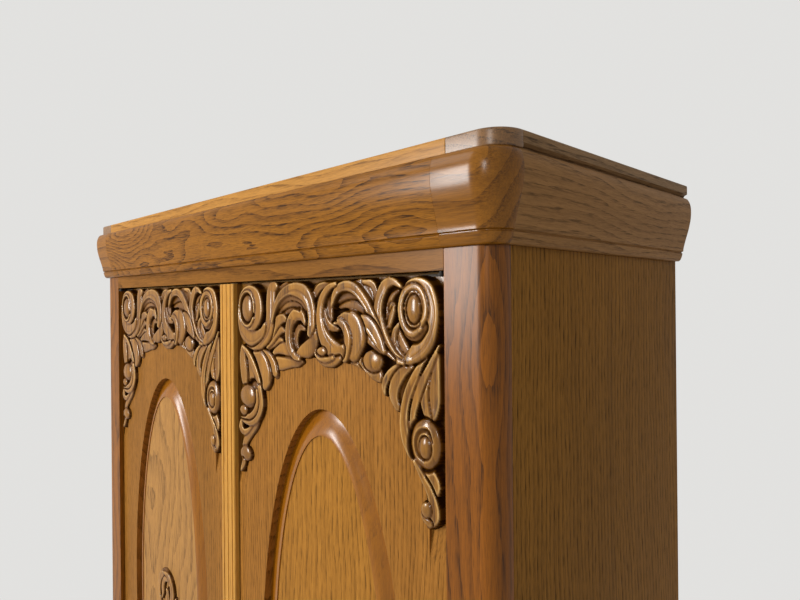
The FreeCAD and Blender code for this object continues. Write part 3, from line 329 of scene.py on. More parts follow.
planed("post_right", oak("right post oak", "Z", (0.29, 0.092, 0.005), (0.1, 0.03, 0.001), (0.47, -0.03, 0.0),
                         rings=170, sweep=0.05, contrast=0.45, pores=0.7, stain=0.7,
                         coat=0.45, coat_rough=0.3))
planed("post_left", oak("left post oak", "Z", (0.3, 0.105, 0.008), (0.11, 0.035, 0.002), (-0.5, -0.05, 0.4),
                        rings=170, sweep=0.05, contrast=0.45, pores=0.7, coat=0.4, coat_rough=0.3))
for node in ("side_panel_left", "side_panel_right"):
    planed(node, oak(node + " oak", "Z", (0.36, 0.163, 0.03), (0.15, 0.064, 0.009), (0.2, 0.55, 0.0),
                     rings=130, sweep=0.05, contrast=0.35, pores=0.85, stain=0.8, coat=0.05, coat_rough=0.4))
rail_oak = oak("rail oak", "X", (0.27, 0.112, 0.018), (0.12, 0.043, 0.005), (0.0, 0.3, 1.4), rings=110,
               sweep=0.05, coat=0.12, coat_rough=0.3)
planed("top_rail", rail_oak, 0.0006)
planed("bottom_rail", rail_oak, 0.0006)
for node in ("bottom_board", "inner_top", "door_stop"):
    planed(node, inside_oak["X"])


# Back: a frame of stiles and rails round two thin oak panels, bare like the inside.
# It is let in between the sides and screwed to the boards.

planed("back_stiles", inside_oak["Z"])
planed("back_rails", inside_oak["X"])
planed("back_panels", inside_oak["Z"])


# Shelves: three loose oak boards, bare like the rest of the inside. They rest on
# oak battens that are screwed to the sides.

for node in ("shelf_lower", "shelf_middle", "shelf_upper"):
    planed(node, inside_oak["X"])
planed("shelf_battens", inside_oak["Y"])


# Cornice: an ogee moulding of oak with a flat band under it. The front has a
# lively sawn figure, and solid corners carry the moulding round the posts.

CORNICE_LIGHT = (0.32, 0.126, 0.011)
CORNICE_DARK = (0.12, 0.04, 0.002)
planed("cornice_front", oak("cornice front oak", "X", CORNICE_LIGHT, CORNICE_DARK, (0.0, -0.17, 1.64),
                            rings=180, sweep=0.12, pores=0.95, coat=0.28, coat_rough=0.24))
for node in ("cornice_corner_left", "cornice_corner_right"):
    planed(node, oak(node + " oak", "X", CORNICE_LIGHT, CORNICE_DARK, (0.0, 0.1, 1.5),
                     rings=60, sweep=0.08, contrast=0.3, stain=1.2, coat=0.42, coat_rough=0.22))
# the sides are painted greyer than the front, for the grey light that falls on them
for node in ("cornice_side_left", "cornice_side_right"):
    planed(node, oak(node + " oak", "Y", (0.43, 0.222, 0.08), (0.22, 0.105, 0.032), (0.4, 0.0, 1.55),
                     rings=150, sweep=0.05, contrast=0.35, pores=0.7, coat=0.12, coat_rough=0.35))
planed("cornice_rear_rail", inside_oak["X"])


# Top board: a flat oak board with a rounded lip along the front and the sides and
# a solid piece at each front corner. The front lip is honey coloured; the side lips and corners are painted
# greyer for the light on them.

planed("top_board", oak("top board oak", "X", (0.36, 0.19, 0.065), (0.2, 0.1, 0.03), (0.0, 0.1, 1.6),
                        rings=110, sweep=0.08, coat=0.15))
planed("top_lip_front", oak("front lip oak", "X", (0.55, 0.265, 0.055), (0.29, 0.12, 0.018), (0.0, -0.1, 1.6),
                            rings=110, sweep=0.08, contrast=0.4, coat_rough=0.3))
# painted sheen: the corner pieces are greyer for the sheen on them
for node in ("top_corner_left", "top_corner_right"):
    planed(node, oak(node + " oak", "Y", (0.3, 0.15, 0.05), (0.12, 0.052, 0.014), (0.5, -0.2, 1.5),
                     contrast=0.2, pores=0.9, stain=0.8, coat=0.9, coat_rough=0.32))
# painted light: the side lips are greyer for the grey light on the sides
for node in ("top_lip_left", "top_lip_right"):
    planed(node, oak(node + " oak", "Y", (0.38, 0.225, 0.105), (0.18, 0.1, 0.043), (0.5, 0.0, 1.65),
                     rings=130, sweep=0.04, pores=0.8, coat=0.1), undercut=0.0065)


# Pivot hinges: steel pins on plates let into the rails, and steel eyes let into
# the ends of the doors, so that no hinge shows when the doors are shut.


def metal(name, colour, rough, scratch):
    """Metal with fine wear in its gloss."""
    material, tree, surface = new_material(name)
    nodes, links = tree.nodes, tree.links
    surface.inputs["Metallic"].default_value = 1.0
    place = nodes.new("ShaderNodeTexCoord")
    tarnish = nodes.new("ShaderNodeTexNoise")
    tarnish.inputs["Scale"].default_value = 60.0
    tarnish.inputs["Detail"].default_value = 4.0
    links.new(place.outputs["Object"], tarnish.inputs["Vector"])
    worn = (*[0.55 * part for part in colour], 1.0)
    links.new(blended(tree, tarnish.outputs["Fac"], (*colour, 1.0), worn), surface.inputs["Base Color"])
    gloss = ranged(tree, tarnish.outputs["Fac"], 0.0, 1.0, rough, rough + 0.25)
    links.new(gloss, surface.inputs["Roughness"])
    raised(tree, tarnish.outputs["Fac"], scratch, 0.0003)
    return material


blackened = metal("blackened steel", (0.045, 0.04, 0.036), 0.45, 0.2)
for node in ("frame_pivots", "left_door_pivots", "right_door_pivots"):
    planed(node, blackened, 0.0004)


# Doors: a solid oak board with an oval opening and a sunk ground for the carving,
# and a thin sheet behind it. Straight vertical grain with open pores.

# for each board its light and dark wood and the middle of its log; the left board is painted darker, for the
# shade on the left door
DOOR_WOOD_AND_SHADE = {
    "right": ((0.39, 0.168, 0.03), (0.17, 0.062, 0.007), (-0.6, -0.12, 0.0)),
    "left": ((0.35, 0.152, 0.028), (0.145, 0.055, 0.006), (0.45, -0.1, 0.2))}
for side, wood in DOOR_WOOD_AND_SHADE.items():
    planed(side + "_door_board", oak(side + " door oak", "Z", *wood, rings=150, sweep=0.05, contrast=0.3,
                                     pores=0.75, stain=0.55, coat=0.16, coat_rough=0.35), 0.0006)
for node in ("left_door_back", "right_door_back"):
    planed(node, inside_oak["Z"])


# Oval mouldings and panels: each oval opening is lined by a moulding in four
# lengths that rises to a small bead, round a flat oak panel.

FIELD_START = {"left": -0.502, "right": 0.02325}
FIELD_WIDTH = 0.47875
OVAL_MIDDLE = 0.9255
# the left panel is painted paler and greyer, for the sheen of the light on it
PANEL_WOOD_AND_SHEEN = {
    "left": ((0.48, 0.245, 0.07), (0.25, 0.125, 0.045)),
    "right": ((0.45, 0.2, 0.032), (0.22, 0.087, 0.01))}
for side in ("left", "right"):
    planed(side + "_oval_moulding", oak(side + " moulding oak", "Z", (0.38, 0.138, 0.004),
                                        (0.17, 0.051, 0.001), (0.1, 0.05, 0.0), rings=110,
                                        contrast=0.0, pores=0.35, coat=0.75, coat_rough=0.27), 0.0,
           joints=((0, FIELD_START[side] + FIELD_WIDTH / 2), (2, OVAL_MIDDLE)))
    planed(side + "_oval_panel", oak(side + " panel oak", "Z", *PANEL_WOOD_AND_SHEEN[side], (-0.3, 0.1, 0.3),
                                     rings=110, sweep=0.09, pores=0.75, contrast=0.22, coat=0.14,
                                     coat_rough=0.3), 0.0004)


# Carving: scrolls, volutes and leaves cut in oak across the top of each door, with
# a tail down each side. Each form is a gouged sweep with its own height; the ones
# listed later lie over the earlier ones. Places are in hundredths of its width.

CARVING_UNIT = 0.0047075
DOOR_TOP = 1.568
DOOR_FACE = -0.2285
CARVING_GROUND = -6.7
UNDER_FACE = -1.6

# a form is its height, lean, hollow and line; a ball is its height, then its
# middle and half widths; a vein is its depth and line
CARVING_FORMS = [
    # low swellings that the forms rise from
    ("ball", 2.5, (11.5, 12, 8.5, 10.5)),
    (2.6, 0, 0, [(24.4, 2, 3), (23.6, 10, 3.2), (20, 18, 3.4), (12, 20.6, 2.6)]),
    (2.4, 0, 0, [(26, 12.5, 1.5), (30, 8, 3), (36, 5.2, 3.8), (43, 5.6, 3.6), (46.8, 12, 2.4)]),
    (1.2, 0, 0, [(23.5, 21.5, 1.5), (28, 18, 3), (32, 14, 2.6)]),
    (2, 0, 0, [(38, 12, 2), (35.4, 17, 1.8), (38.4, 22.6, 2.4), (46, 20.6, 3)]),
    (0.4, 0, 0, [(48, 3, 2), (53, 3, 2.4), (57, 3, 2)]),
    (2, 0, 0, [(57.6, 3, 2), (53, 7, 2.6), (53.4, 14, 2.6), (57, 20.6, 3.2), (64, 20, 4), (67, 15, 4)]),
    (2, 0, 0, [(59, 6, 2), (65, 5, 3.4), (71, 7, 3), (76, 13, 2.6), (82, 20, 2)]),
    (0.6, 0, 0, [(70, 3, 2), (75, 5, 2.4), (77, 12, 2.4)]),
    (1.2, 0, 0, [(84, 4, 2), (80, 8, 3), (81, 15, 2.6), (86, 21, 2)]),
    ("ball", 2.8, (92.4, 10.6, 7.2, 10)),
    (2.6, 0, 0, [(88, 21.6, 1.5), (94, 19, 3.4), (97.6, 12, 2)]),
    # leaves low in the ground along the top
    (4, 0, 0.3, [(57.4, 1.3, 0.7), (54, 1.7, 1.1), (50.4, 2.2, 1.4), (47.9, 4.4, 1.4), (47.4, 6.4, 0.7)]),
    (3.4, 0, 0.2, [(55.6, 3.4, 0.6), (52.6, 4.4, 1.2), (50.2, 6.2, 1.3), (49.3, 9, 0.9), (49.4, 11, 0.5)]),
    (4.2, 0, 0.3, [(67.4, 1.2, 0.8), (70.8, 1.8, 1.4), (73.4, 4.4, 1.6), (75.4, 8.4, 1)]),
    (5.2, 0, 0.2, [(70.6, 1.2, 0.7), (74.2, 1.8, 1.2), (76, 4.4, 1.2), (76, 8, 0.8)]),
    (4, 0, 0.35, [(36, 1.3, 0.8), (31.6, 1.6, 1.5), (28.4, 3.6, 1.7), (26.8, 7, 1.2), (26.2, 10, 0.7)]),
    # inner leaf of the hooked leaf beside the right volute
    (3, 0, 0.3, [(85.2, 3.2, 1.2), (82.2, 4.2, 2.2), (80.6, 7.5, 2.4), (80.4, 12, 2.2), (81.4, 16.5, 1.4)]),
    (5, -0.3, 0.2, [(85, 4, 0.6), (82.4, 5.4, 0.9), (81, 8.2, 1), (80.8, 11.6, 0.9), (81.4, 15, 0.6)]),
    ("ball", 6, (82.8, 8.8, 1.7, 1.8)),
    (5.8, 0, 0, [(83.6, 8.4, 0.9), (82.4, 10.8, 1.2), (81.4, 13.4, 1)]),
    # leaf folded under the right arch, with its ribs
    (3.2, 0.4, 0.1, [(58.6, 6.6, 1), (62, 5.4, 2), (66.4, 5.6, 2), (70.4, 7.8, 1.5), (74.4, 11.6, 0.8)]),
    (2, 0.4, 0, [(59.6, 8.4, 0.7), (63.4, 7.9, 1.4), (67.4, 8.2, 1.5), (71, 10, 1.1), (74.4, 12.8, 0.6)]),
    # ribs under the left arch
    (2.6, 0.3, 0, [(26.8, 14, 0.6), (30, 11, 1), (34, 9.6, 1.2), (37.4, 9.3, 1), (39.4, 10, 0.5)]),
    (4, 0.3, 0, [(26.2, 12.6, 0.8), (29, 9.4, 1.3), (33, 7.4, 1.5), (37.4, 7.1, 1.4), (41.6, 8.6, 1.2),
        (43.6, 10.4, 0.8)]),
    (5.2, 0.3, 0, [(26.2, 11, 0.8), (28.6, 7.8, 1.2), (32.4, 5.6, 1.3), (37, 5.1, 1.4), (41.2, 6.2, 1.5),
        (44, 8.8, 1.3)]),
    # inner curl of the middle scroll
    (3.4, 0, 0.2, [(57.6, 3.6, 1), (55.8, 6, 1.7), (54.8, 9, 1.8), (55, 12, 1.6)]),
    (5.4, -0.4, 0.1, [(53, 9, 0.7), (53.5, 12, 1.3), (55.2, 14, 1.5), (58, 14.9, 1.2), (59.8, 14.9, 0.6)]),
    # pods below the band
    (5, 0, 0, [(24.6, 24.4, 0.8), (27.6, 22.6, 1.8), (31.6, 22.2, 2.4), (36, 23.4, 1.8), (39.8, 25.2, 0.8)]),
    (5, -0.5, 0, [(24.6, 26.4, 1.1), (27.6, 27.2, 2.6), (31, 27, 2.3), (35, 26.6, 1.8), (38.6, 26.6, 1.3),
        (41.4, 25.8, 0.7)]),
    ("vein", 0.8, [(27, 24.8, 0.25), (33, 25, 0.35), (38.8, 25.7, 0.25)]),
    (4.4, 0, 0, [(65.2, 24.4, 0.7), (68.4, 24.6, 1.3), (71.6, 25.6, 1.6), (74.6, 27, 1.6)]),
    (5.4, 0, 0, [(69, 23.6, 0.9), (72, 24.6, 2.4), (75.4, 26.4, 2.8), (77.4, 28, 1.5)]),
    ("ball", 7.6, (74.6, 23.4, 4.3, 3.2)),
    # left tail, from the husk down
    (4, 0, 0, [(5, 24, 1.6), (6.4, 29, 3.2), (8.4, 33, 3.6), (10.6, 35, 2.2)]),
    (5.4, 0, 0.1, [(9.4, 26.4, 0.9), (10.8, 30, 2), (11.2, 33.4, 2), (10.6, 36, 1.2)]),
    (6.8, 0, 0.1, [(5.6, 22.8, 1.3), (5.3, 26.6, 2.3), (5.9, 31, 2.6), (6.4, 34.6, 2.1), (6.9, 36.6, 1)]),
    ("vein", 0.9, [(7.4, 26.6, 0.25), (8.3, 30.6, 0.4), (8.6, 35, 0.3)]),
    (4.6, 0, 0, [(16, 24, 1), (21, 25, 2), (24.6, 28, 2.4), (25.8, 31, 1.8)]),
    (5.6, 0, 0, [(17.5, 23.6, 0.8), (21.4, 25, 1.6), (24.4, 27.8, 2), (25.8, 30.6, 1.6)]),
    (7.8, 0, 0, [(13.4, 23.8, 0.9), (17, 26, 2.6), (19.6, 29.4, 3.5), (20.8, 32.8, 3), (20.2, 35.6, 1.6)]),
    ("vein", 0.8, [(21.8, 27, 0.25), (23.4, 30.2, 0.4), (23.2, 33.4, 0.3)]),
    (8.2, 0, 0.2, [(6.2, 22.6, 0.7), (9.6, 25, 1.3), (12.8, 28.6, 1.5), (15.6, 33, 1.5), (17.2, 37.5, 1.4)]),
    ("vein", 0.8, [(8.6, 24.7, 0.2), (12.4, 29.2, 0.35), (15.6, 34.4, 0.35)]),
    (2.5, 0, 0, [(12, 38, 3.6), (12, 44, 3.4), (8, 48, 2)]),
    (5.4, 0, 0, [(16, 47, 0.8), (13, 50.4, 1.5), (9, 53.4, 1.9), (6.2, 57, 1.7), (5, 60.8, 1.4),
        (4.6, 65, 0.9)]),
    (6.6, 0, 0.2, [(4.2, 49.4, 0.9), (3.8, 51.8, 1.5), (5.6, 53.2, 1.4), (8.6, 52.2, 1), (11.6, 50, 0.6)]),
    (8.2, 0.2, 0.15, [(16.9, 36.5, 1.4), (17.6, 41.5, 1.7), (16.2, 45.4, 1.7), (13, 48.2, 1.6),
        (9, 49.4, 1.2), (5.2, 49, 0.6)]),
    (7.2, 0, 0, [(15, 37.5, 0.8), (15.2, 41.4, 1.2), (13.6, 44.8, 1.3), (10.4, 47, 1.2), (7.2, 47.6, 0.9),
        (4.6, 48, 0.5)]),
    ("ball", 9, (8.6, 40.2, 5.3, 4.2)),
    ("vein", 0.9, [(3.8, 42.6, 0.4), (8, 43.9, 0.6), (12.8, 42.6, 0.5)]),
    ("ball", 7.6, (5.8, 45.4, 2.6, 2)),
    ("ball", 8.4, (7, 60.8, 3.7, 2.8)),
    (6, 0, 0, [(5.6, 63.8, 1.3), (4.6, 65.8, 1.2), (3.6, 67.6, 0.5)]),
    # right tail
    (2.4, 0, 0, [(97.6, 22, 1.2), (95.4, 28, 3), (95, 34, 3.2)]),
    (2, 0, 0, [(88, 25, 1.8), (84.6, 29, 2.6), (85, 34, 1.6)]),
    (5.2, 0.3, 0.2, [(98.6, 20.5, 0.8), (98, 24, 1.4), (97.2, 28.5, 2.2), (97, 32.5, 2.3), (97, 36, 1.3)]),
    (6, 0.2, 0.1, [(96, 24, 0.7), (94.2, 28.6, 1.3), (94, 32.6, 1.5), (95.2, 36.4, 1.2)]),
    (6.6, 0, 0.3, [(99.2, 18, 0.5), (96.6, 22.4, 1), (94, 26.5, 1.3), (91.7, 31, 1.4), (90.2, 35.5, 1.3),
        (89.6, 40, 1)]),
    (4.2, 0.3, 0.3, [(90.4, 24.4, 0.7), (88, 27.4, 1.8), (86.2, 30.6, 2), (85.6, 33.4, 1.5)]),
    (6.2, 0, 0.1, [(88.5, 23.2, 0.7), (84.2, 24.4, 1.1), (80.8, 27, 1.4), (79.2, 29.8, 1.2),
        (79.6, 32.2, 0.6)]),
    (7, -0.3, 0.3, [(90, 23.6, 0.8), (86.2, 25.8, 1.7), (83.5, 29, 2.1), (82.9, 32.2, 1.9),
        (84.4, 35.2, 1.2)]),
    (7.8, 0.2, 0.2, [(94.6, 21.2, 0.8), (91.6, 25.4, 1.3), (88.9, 30, 1.6), (87.3, 34.5, 1.6),
        (86.8, 39, 1.7), (87.7, 43.5, 1.8), (90, 46.8, 1.7), (92.8, 48.8, 1.1)]),
    ("vein", 0.9, [(91.6, 26.4, 0.2), (88.6, 31.6, 0.4), (87.2, 38, 0.45), (88.5, 43.6, 0.4)]),
    (6.6, 0, 0.2, [(93.4, 49.6, 0.8), (96.2, 50.8, 1.7), (98, 53, 1.5), (98.5, 55.2, 0.7)]),
    ("ball", 8.6, (94.2, 43.4, 5.4, 6.6)),
    ("vein", 3.2, [(96.9, 42.4, 0.3), (95.4, 39.9, 0.6), (92.6, 40.4, 0.8), (91.2, 43, 0.8), (91.8, 46, 0.7),
        (94, 47.4, 0.4)]),
    ("ball", 9, (94.4, 44.2, 2.2, 2.9)),
    (6.8, -0.2, 0.2, [(90.4, 48.4, 0.7), (93, 51.6, 1.1), (95.4, 54.8, 1.5), (97.1, 58.4, 1.8),
        (97.2, 61.6, 1.8), (95, 63.6, 1.4)]),
    (5.4, 0, 0, [(95.4, 63.4, 1.2), (93.4, 62.2, 1.1), (93, 60.2, 0.8)]),
    ("ball", 8.2, (94.5, 59.9, 1.9, 2.2)),
    # blades that leave the left stem
    (4.4, 0, 0, [(30.4, 19.4, 0.5), (28, 19.4, 1.1), (25.2, 20.8, 1.2), (22, 22.6, 0.7)]),
    (6, 0.2, 0, [(32.4, 16.4, 0.6), (29.8, 16, 1.4), (27, 17.2, 1.6), (24.4, 19.6, 1.4), (21.4, 22, 0.9)]),
    (7.6, 0.2, 0.1, [(34, 12.8, 0.7), (31, 12.2, 1.7), (27.8, 13.4, 2), (24.8, 16.6, 1.7), (22, 20, 1.1)]),
    # left volute, from its stem inwards
    (7.4, 0, 0.1, [(27.4, 1.4, 1.2), (24.6, 2.4, 2.6), (23.8, 7, 3), (23.6, 12, 2.9), (22, 16.6, 2.9),
        (18, 20.4, 2.5), (13, 22.2, 1.5), (8.6, 22, 0.7)]),
    ("vein", 0.8, [(24.6, 3, 0.25), (24.4, 8, 0.4), (24, 13, 0.4), (21.6, 18, 0.4), (17.4, 21.4, 0.25)]),
    ("vein", 0.6, [(22.4, 3.4, 0.25), (22.2, 8, 0.3), (21.8, 13, 0.3), (19.6, 17.4, 0.3)]),
    (8.4, -0.2, 0, [(20.6, 14.6, 1), (18.8, 17, 1.8), (15.2, 18.8, 2.3), (11, 19.4, 2.9), (7, 17.6, 2.9),
        (5, 13.6, 2.3), (4.6, 9, 1.5), (5.6, 4.8, 1.5), (8.4, 2.6, 1.6), (12, 2.5, 1.9), (15.4, 4.6, 2.4),
        (16.6, 8.4, 2.6), (16, 12.2, 2.4), (13.6, 15, 1.7), (10.4, 15.8, 1.2)]),
    ("vein", 0.7, [(5.6, 17.4, 0.25), (9.6, 20.2, 0.35), (14.4, 20.2, 0.35), (18.6, 18.2, 0.25)]),
    (9, 0, 0, [(13.6, 12.4, 0.7), (11.4, 14.6, 0.8), (8.6, 14.8, 0.8), (6, 12.8, 0.8), (4.9, 9.2, 0.8),
        (5.6, 5.4, 0.8), (8.4, 3.3, 0.8), (11.6, 3.6, 0.8), (13.6, 6.4, 0.8), (13.9, 10, 0.7)]),
    ("ball", 9.6, (9.2, 9, 3.9, 4.9)),
    # curled leaf under the left arch
    (4.4, -0.3, 0.3, [(42.4, 15.4, 0.8), (39.8, 15, 1.3), (38, 17, 1.4), (37.6, 20, 1.4), (39.4, 23.4, 1)]),
    (7.4, -0.3, 0, [(38.6, 24, 0.7), (41.4, 22.6, 2), (44.6, 21.6, 3), (47.6, 19.4, 2.5), (49.2, 15.8, 1)]),
    (8.8, 0.3, 0.05, [(43.8, 13.6, 0.9), (42, 11.3, 1.8), (38.6, 10.9, 2.3), (35.6, 13.4, 2.1),
        (34.6, 17.4, 1.9), (35.4, 21.4, 1.7), (38, 24.2, 1.3), (40.6, 25, 0.7)]),
    ("vein", 0.7, [(42.4, 12.4, 0.3), (39, 12.2, 0.45), (36.6, 15, 0.45), (36, 19, 0.4), (37.4, 22.8, 0.3)]),
    # left arch leaf
    (9, 0.4, 0.05, [(25.4, 13.4, 0.6), (26.4, 9.8, 1.1), (28.4, 6.6, 1.4), (31.6, 4, 1.8), (35.6, 2.7, 2.1),
        (39.6, 2.9, 2.6), (43.4, 4.2, 2.8), (46, 7, 2.4), (47.2, 10.4, 2.1), (47.2, 13.8, 2),
        (46.2, 16.8, 1.2)]),
    ("vein", 0.7, [(29.4, 6, 0.2), (34.6, 3.6, 0.35), (40, 3.2, 0.4), (44.6, 5.6, 0.4), (46.9, 10, 0.4),
        (47.1, 14, 0.25)]),
    ("vein", 5, [(38.2, 8.9, 0.3), (40, 8.9, 0.6), (41.2, 9.6, 0.3)]),
    ("vein", 5, [(44.2, 9.8, 0.3), (44.9, 11.6, 0.6), (44.8, 14, 0.4)]),
    # right volute, from its stem inwards
    (5.4, 0, 0, [(84.8, 14.4, 0.8), (86, 17.6, 1.7), (87.8, 20.4, 1.7), (88.2, 22.6, 0.9)]),
    (6.6, 0, 0.1, [(85.6, 12.6, 0.7), (83.8, 14.6, 1.1), (83.2, 17.4, 1.2), (84.6, 20.2, 1.2),
        (87.4, 22.2, 1)]),
    (8.6, 0.2, 0.05, [(87.4, 22.8, 0.8), (91, 20.6, 2.5), (94.8, 17.2, 3), (97, 12.6, 2.5), (97.4, 8, 2.2),
        (96, 3.8, 2), (93, 1.9, 1.4), (89.8, 2.2, 1.2), (87.2, 4.4, 1.1)]),
    ("vein", 0.6, [(90, 21.6, 0.2), (94.2, 19, 0.35), (97.2, 14, 0.35), (98, 9, 0.3), (96.6, 4.6, 0.25)]),
    (6.4, 0, 0, [(87, 12, 1.2), (88.6, 14.8, 1.9), (91.4, 15.4, 2), (94, 13.4, 1.6)]),
    (8.8, 0, 0.1, [(93.4, 14, 0.8), (90.4, 15.4, 1), (87.6, 13.6, 1.1), (86.2, 9.6, 1.1), (87, 5.6, 1.1),
        (89.6, 3.4, 1.1), (92.8, 3.8, 1.2), (94.8, 7, 1.2), (94.9, 10.6, 1.1), (93.2, 13, 0.9)]),
    (8.6, 0, 0, [(92.6, 12.6, 0.7), (90.2, 12.8, 0.8), (88.6, 10.8, 0.8), (88.4, 7.6, 0.8), (90, 5.2, 0.8),
        (92.2, 5.4, 0.8), (93.4, 8, 0.8), (93, 10.8, 0.7)]),
    ("ball", 9.8, (91, 8.9, 2.6, 3.8)),
    # hooked leaf beside the right volute
    (9, -0.4, 0, [(86.4, 2.8, 0.8), (83.6, 1.6, 1.3), (80.4, 2.4, 1.9), (78.2, 6, 1.9), (77.5, 10.2, 2),
        (78.5, 14.4, 2.2), (80.6, 18.2, 2.1), (83.6, 21.2, 1.6), (87, 22.9, 0.9)]),
    ("vein", 0.6, [(81, 2.8, 0.2), (78.5, 7, 0.3), (78, 11, 0.35), (79.4, 15.6, 0.35), (82.6, 20, 0.25)]),
    ("vein", 5, [(84.2, 8.4, 0.4), (84.7, 10.4, 0.6), (84, 12.2, 0.4)]),
    # right arch leaf
    (9, 0.3, 0.05, [(57.5, 8.4, 0.7), (58.4, 5.2, 1.2), (60.6, 2.9, 1.6), (63.8, 2.2, 1.8), (67.2, 3, 1.8),
        (70.5, 5.3, 1.7), (73.6, 8.7, 1.6), (76, 12.5, 1.6), (78, 16.5, 1.6), (80.6, 20.2, 1.3),
        (84, 22.4, 1), (87.3, 23.1, 0.6)]),
    ("vein", 0.6, [(60, 4, 0.2), (64, 2.8, 0.3), (68, 4, 0.35), (72.4, 8, 0.35), (76, 13.6, 0.3),
        (79, 19, 0.2)]),
    # swollen leaf, its wing and the middle scroll with its small volute
    (5.4, 0, 0, [(76.4, 17, 1.7), (80, 20.5, 1.1), (83.5, 22.6, 0.6)]),
    (5, 0.3, 0, [(69.4, 16.4, 0.6), (72.4, 17.2, 1.5), (75.8, 19, 1.5), (79, 21, 0.8)]),
    (8.2, 0.3, 0, [(65.4, 15.4, 0.5), (68, 12.8, 1.1), (71.2, 12.2, 1.9), (74.4, 14.2, 2.5), (77.4, 17.6, 2),
        (79.6, 20.4, 1)]),
    ("vein", 0.7, [(68, 13.8, 0.2), (71.6, 13.4, 0.35), (75, 16, 0.35), (78, 19.6, 0.2)]),
    (7.6, 0, 0, [(60, 12.2, 1.2), (63.6, 11.7, 2.4), (67, 13.4, 3.4), (68.2, 17.4, 3.8), (66.4, 21.4, 3)]),
    (9, 0, 0, [(58.6, 13.2, 0.6), (61, 12.8, 1.3), (63.4, 14.8, 1.7), (64.4, 18.4, 1.8), (63.2, 23.6, 1.4)]),
    ("vein", 0.8, [(61.8, 14.4, 0.25), (63.2, 18, 0.4), (62.6, 22.6, 0.3)]),
    (8.6, -0.2, 0.05, [(59.2, 1.5, 0.8), (55.8, 2.6, 1.3), (53.1, 5, 1.5), (51.5, 8.4, 1.6), (51.1, 12, 1.8),
        (52.2, 15.8, 2.4), (54.4, 19, 3), (57.4, 21, 3.1), (60.6, 21.6, 2.4), (62.2, 20.4, 1.3)]),
    ("vein", 0.6, [(56, 3.4, 0.2), (52.6, 8, 0.35), (52.4, 13, 0.4), (54.6, 17.6, 0.4), (58, 20.4, 0.25)]),
    ("vein", 5, [(56.8, 11, 0.4), (58.6, 11.9, 0.7), (59.6, 12.6, 0.3)]),
    ("vein", 4, [(60.4, 9.6, 0.3), (62, 9.2, 0.5), (65, 9.6, 0.3)]),
    (6.6, 0, 0, [(60.6, 23.6, 1), (57, 25, 1.6), (52.8, 25.2, 1.5), (49.6, 23.8, 1.2)]),
    (7.8, 0, 0, [(49.2, 22.6, 1), (51, 24, 1), (54.4, 24.3, 1), (57.6, 23.4, 0.8)]),
    ("ball", 8, (51.9, 21.9, 2.5, 1.5)),
]
# the leaf in the middle of each oval, drawn about its own middle
LEAF_FORMS = [
    (2.4, 0, 0.2, [(-5.4, 0.6, 0.8), (-6, -3.6, 1.5), (-4.6, -7.4, 1.7), (-1.6, -9, 1.4)]),
    (3.8, 0, 0.25, [(-7.6, 1.6, 0.7), (-8.6, -2.8, 1.2), (-7.5, -7, 1.5), (-4.6, -10, 1.7),
        (-0.8, -11.3, 1.6), (2.4, -10.4, 1.2)]),
    (3.4, 0, 0.2, [(-7.8, 1.6, 0.7), (-7, 4.2, 1.5), (-4.6, 6.2, 1.6), (-1.2, 7, 1.2)]),
    (4.2, 0.2, 0.1, [(-0.7, 7.8, 0.9), (-3, 9.2, 1.3), (-5.2, 11, 1.1), (-6.8, 13, 0.4)]),
    (4.9, 0.2, 0, [(3.3, -7.2, 0.9), (0.6, -8.6, 1.3), (-2.5, -7.9, 1.4), (-3.9, -5.2, 1.3), (-3.9, -2, 1),
        (-5.2, 1, 0.5)]),
    (4.6, 0.3, 0.2, [(1.4, 6.4, 0.8), (3.4, 3.9, 1.5), (5.6, 1.2, 1.7), (7.4, -1, 1.2), (8.6, -3, 0.4)]),
    (4.8, 0, 0.05, [(0.8, 4.6, 1.1), (3.6, 5.9, 1.6), (5.9, 7.8, 1.6), (6, 10.4, 1.4), (3.8, 11.4, 1.1),
        (2.7, 9.8, 0.8)]),
    ("ball", 5.2, (4, 9.2, 1, 1.1)),
    (5.6, 0, 0.05, [(0.2, -4.4, 0.7), (0.9, -2.4, 1.5), (1.1, 1.2, 1.9), (0.5, 5, 1.9), (-0.5, 8.6, 1.6),
        (-0.9, 11.2, 0.9), (0, 13, 0.4)]),
    ("vein", 0.7, [(0.9, -3, 0.2), (1.2, 1, 0.4), (0.4, 6, 0.35), (-0.6, 10, 0.2)]),
    (6.4, -0.3, 0.05, [(-3.6, -11, 0.6), (1.4, -10.7, 1.4), (4.4, -7.8, 1.9), (5.5, -3.6, 2),
        (4.4, 0.6, 1.6), (2.4, 3.4, 0.9)]),
    ("vein", 0.6, [(0, -11, 0.2), (3.6, -9, 0.35), (5.6, -5, 0.35), (5, 0, 0.25)]),
]
PANEL_FACE = -0.5
GROUND_OUTLINE = [
    (-2, -2), (103, -2), (103, 62), (94.5, 62), (92.5, 50), (88, 45), (86.5, 36), (80.5, 30.5), (75, 26.5),
    (66, 24.5), (57, 24), (50, 24.5), (41, 24), (33, 26), (27, 27.5), (22, 33), (17, 40), (15, 47), (9, 53),
    (7, 58), (6, 62), (-2, 62)]


def gouge_line(points, steps=6):
    """Smooth line through drawn points, each with half the width of the form there."""
    drawn = np.array(points, float)
    ends = np.vstack([drawn[0], drawn, drawn[-1]])
    line = []
    for index in range(len(drawn) - 1):
        a, b, c, d = ends[index:index + 4]
        for step in range(steps):
            t = step / steps
            line.append(0.5 * (2 * b + (c - a) * t + (2 * a - 5 * b + 4 * c - d) * t * t
                               + (3 * b - a - 3 * c + d) * t ** 3))
    line.append(drawn[-1])
    return line


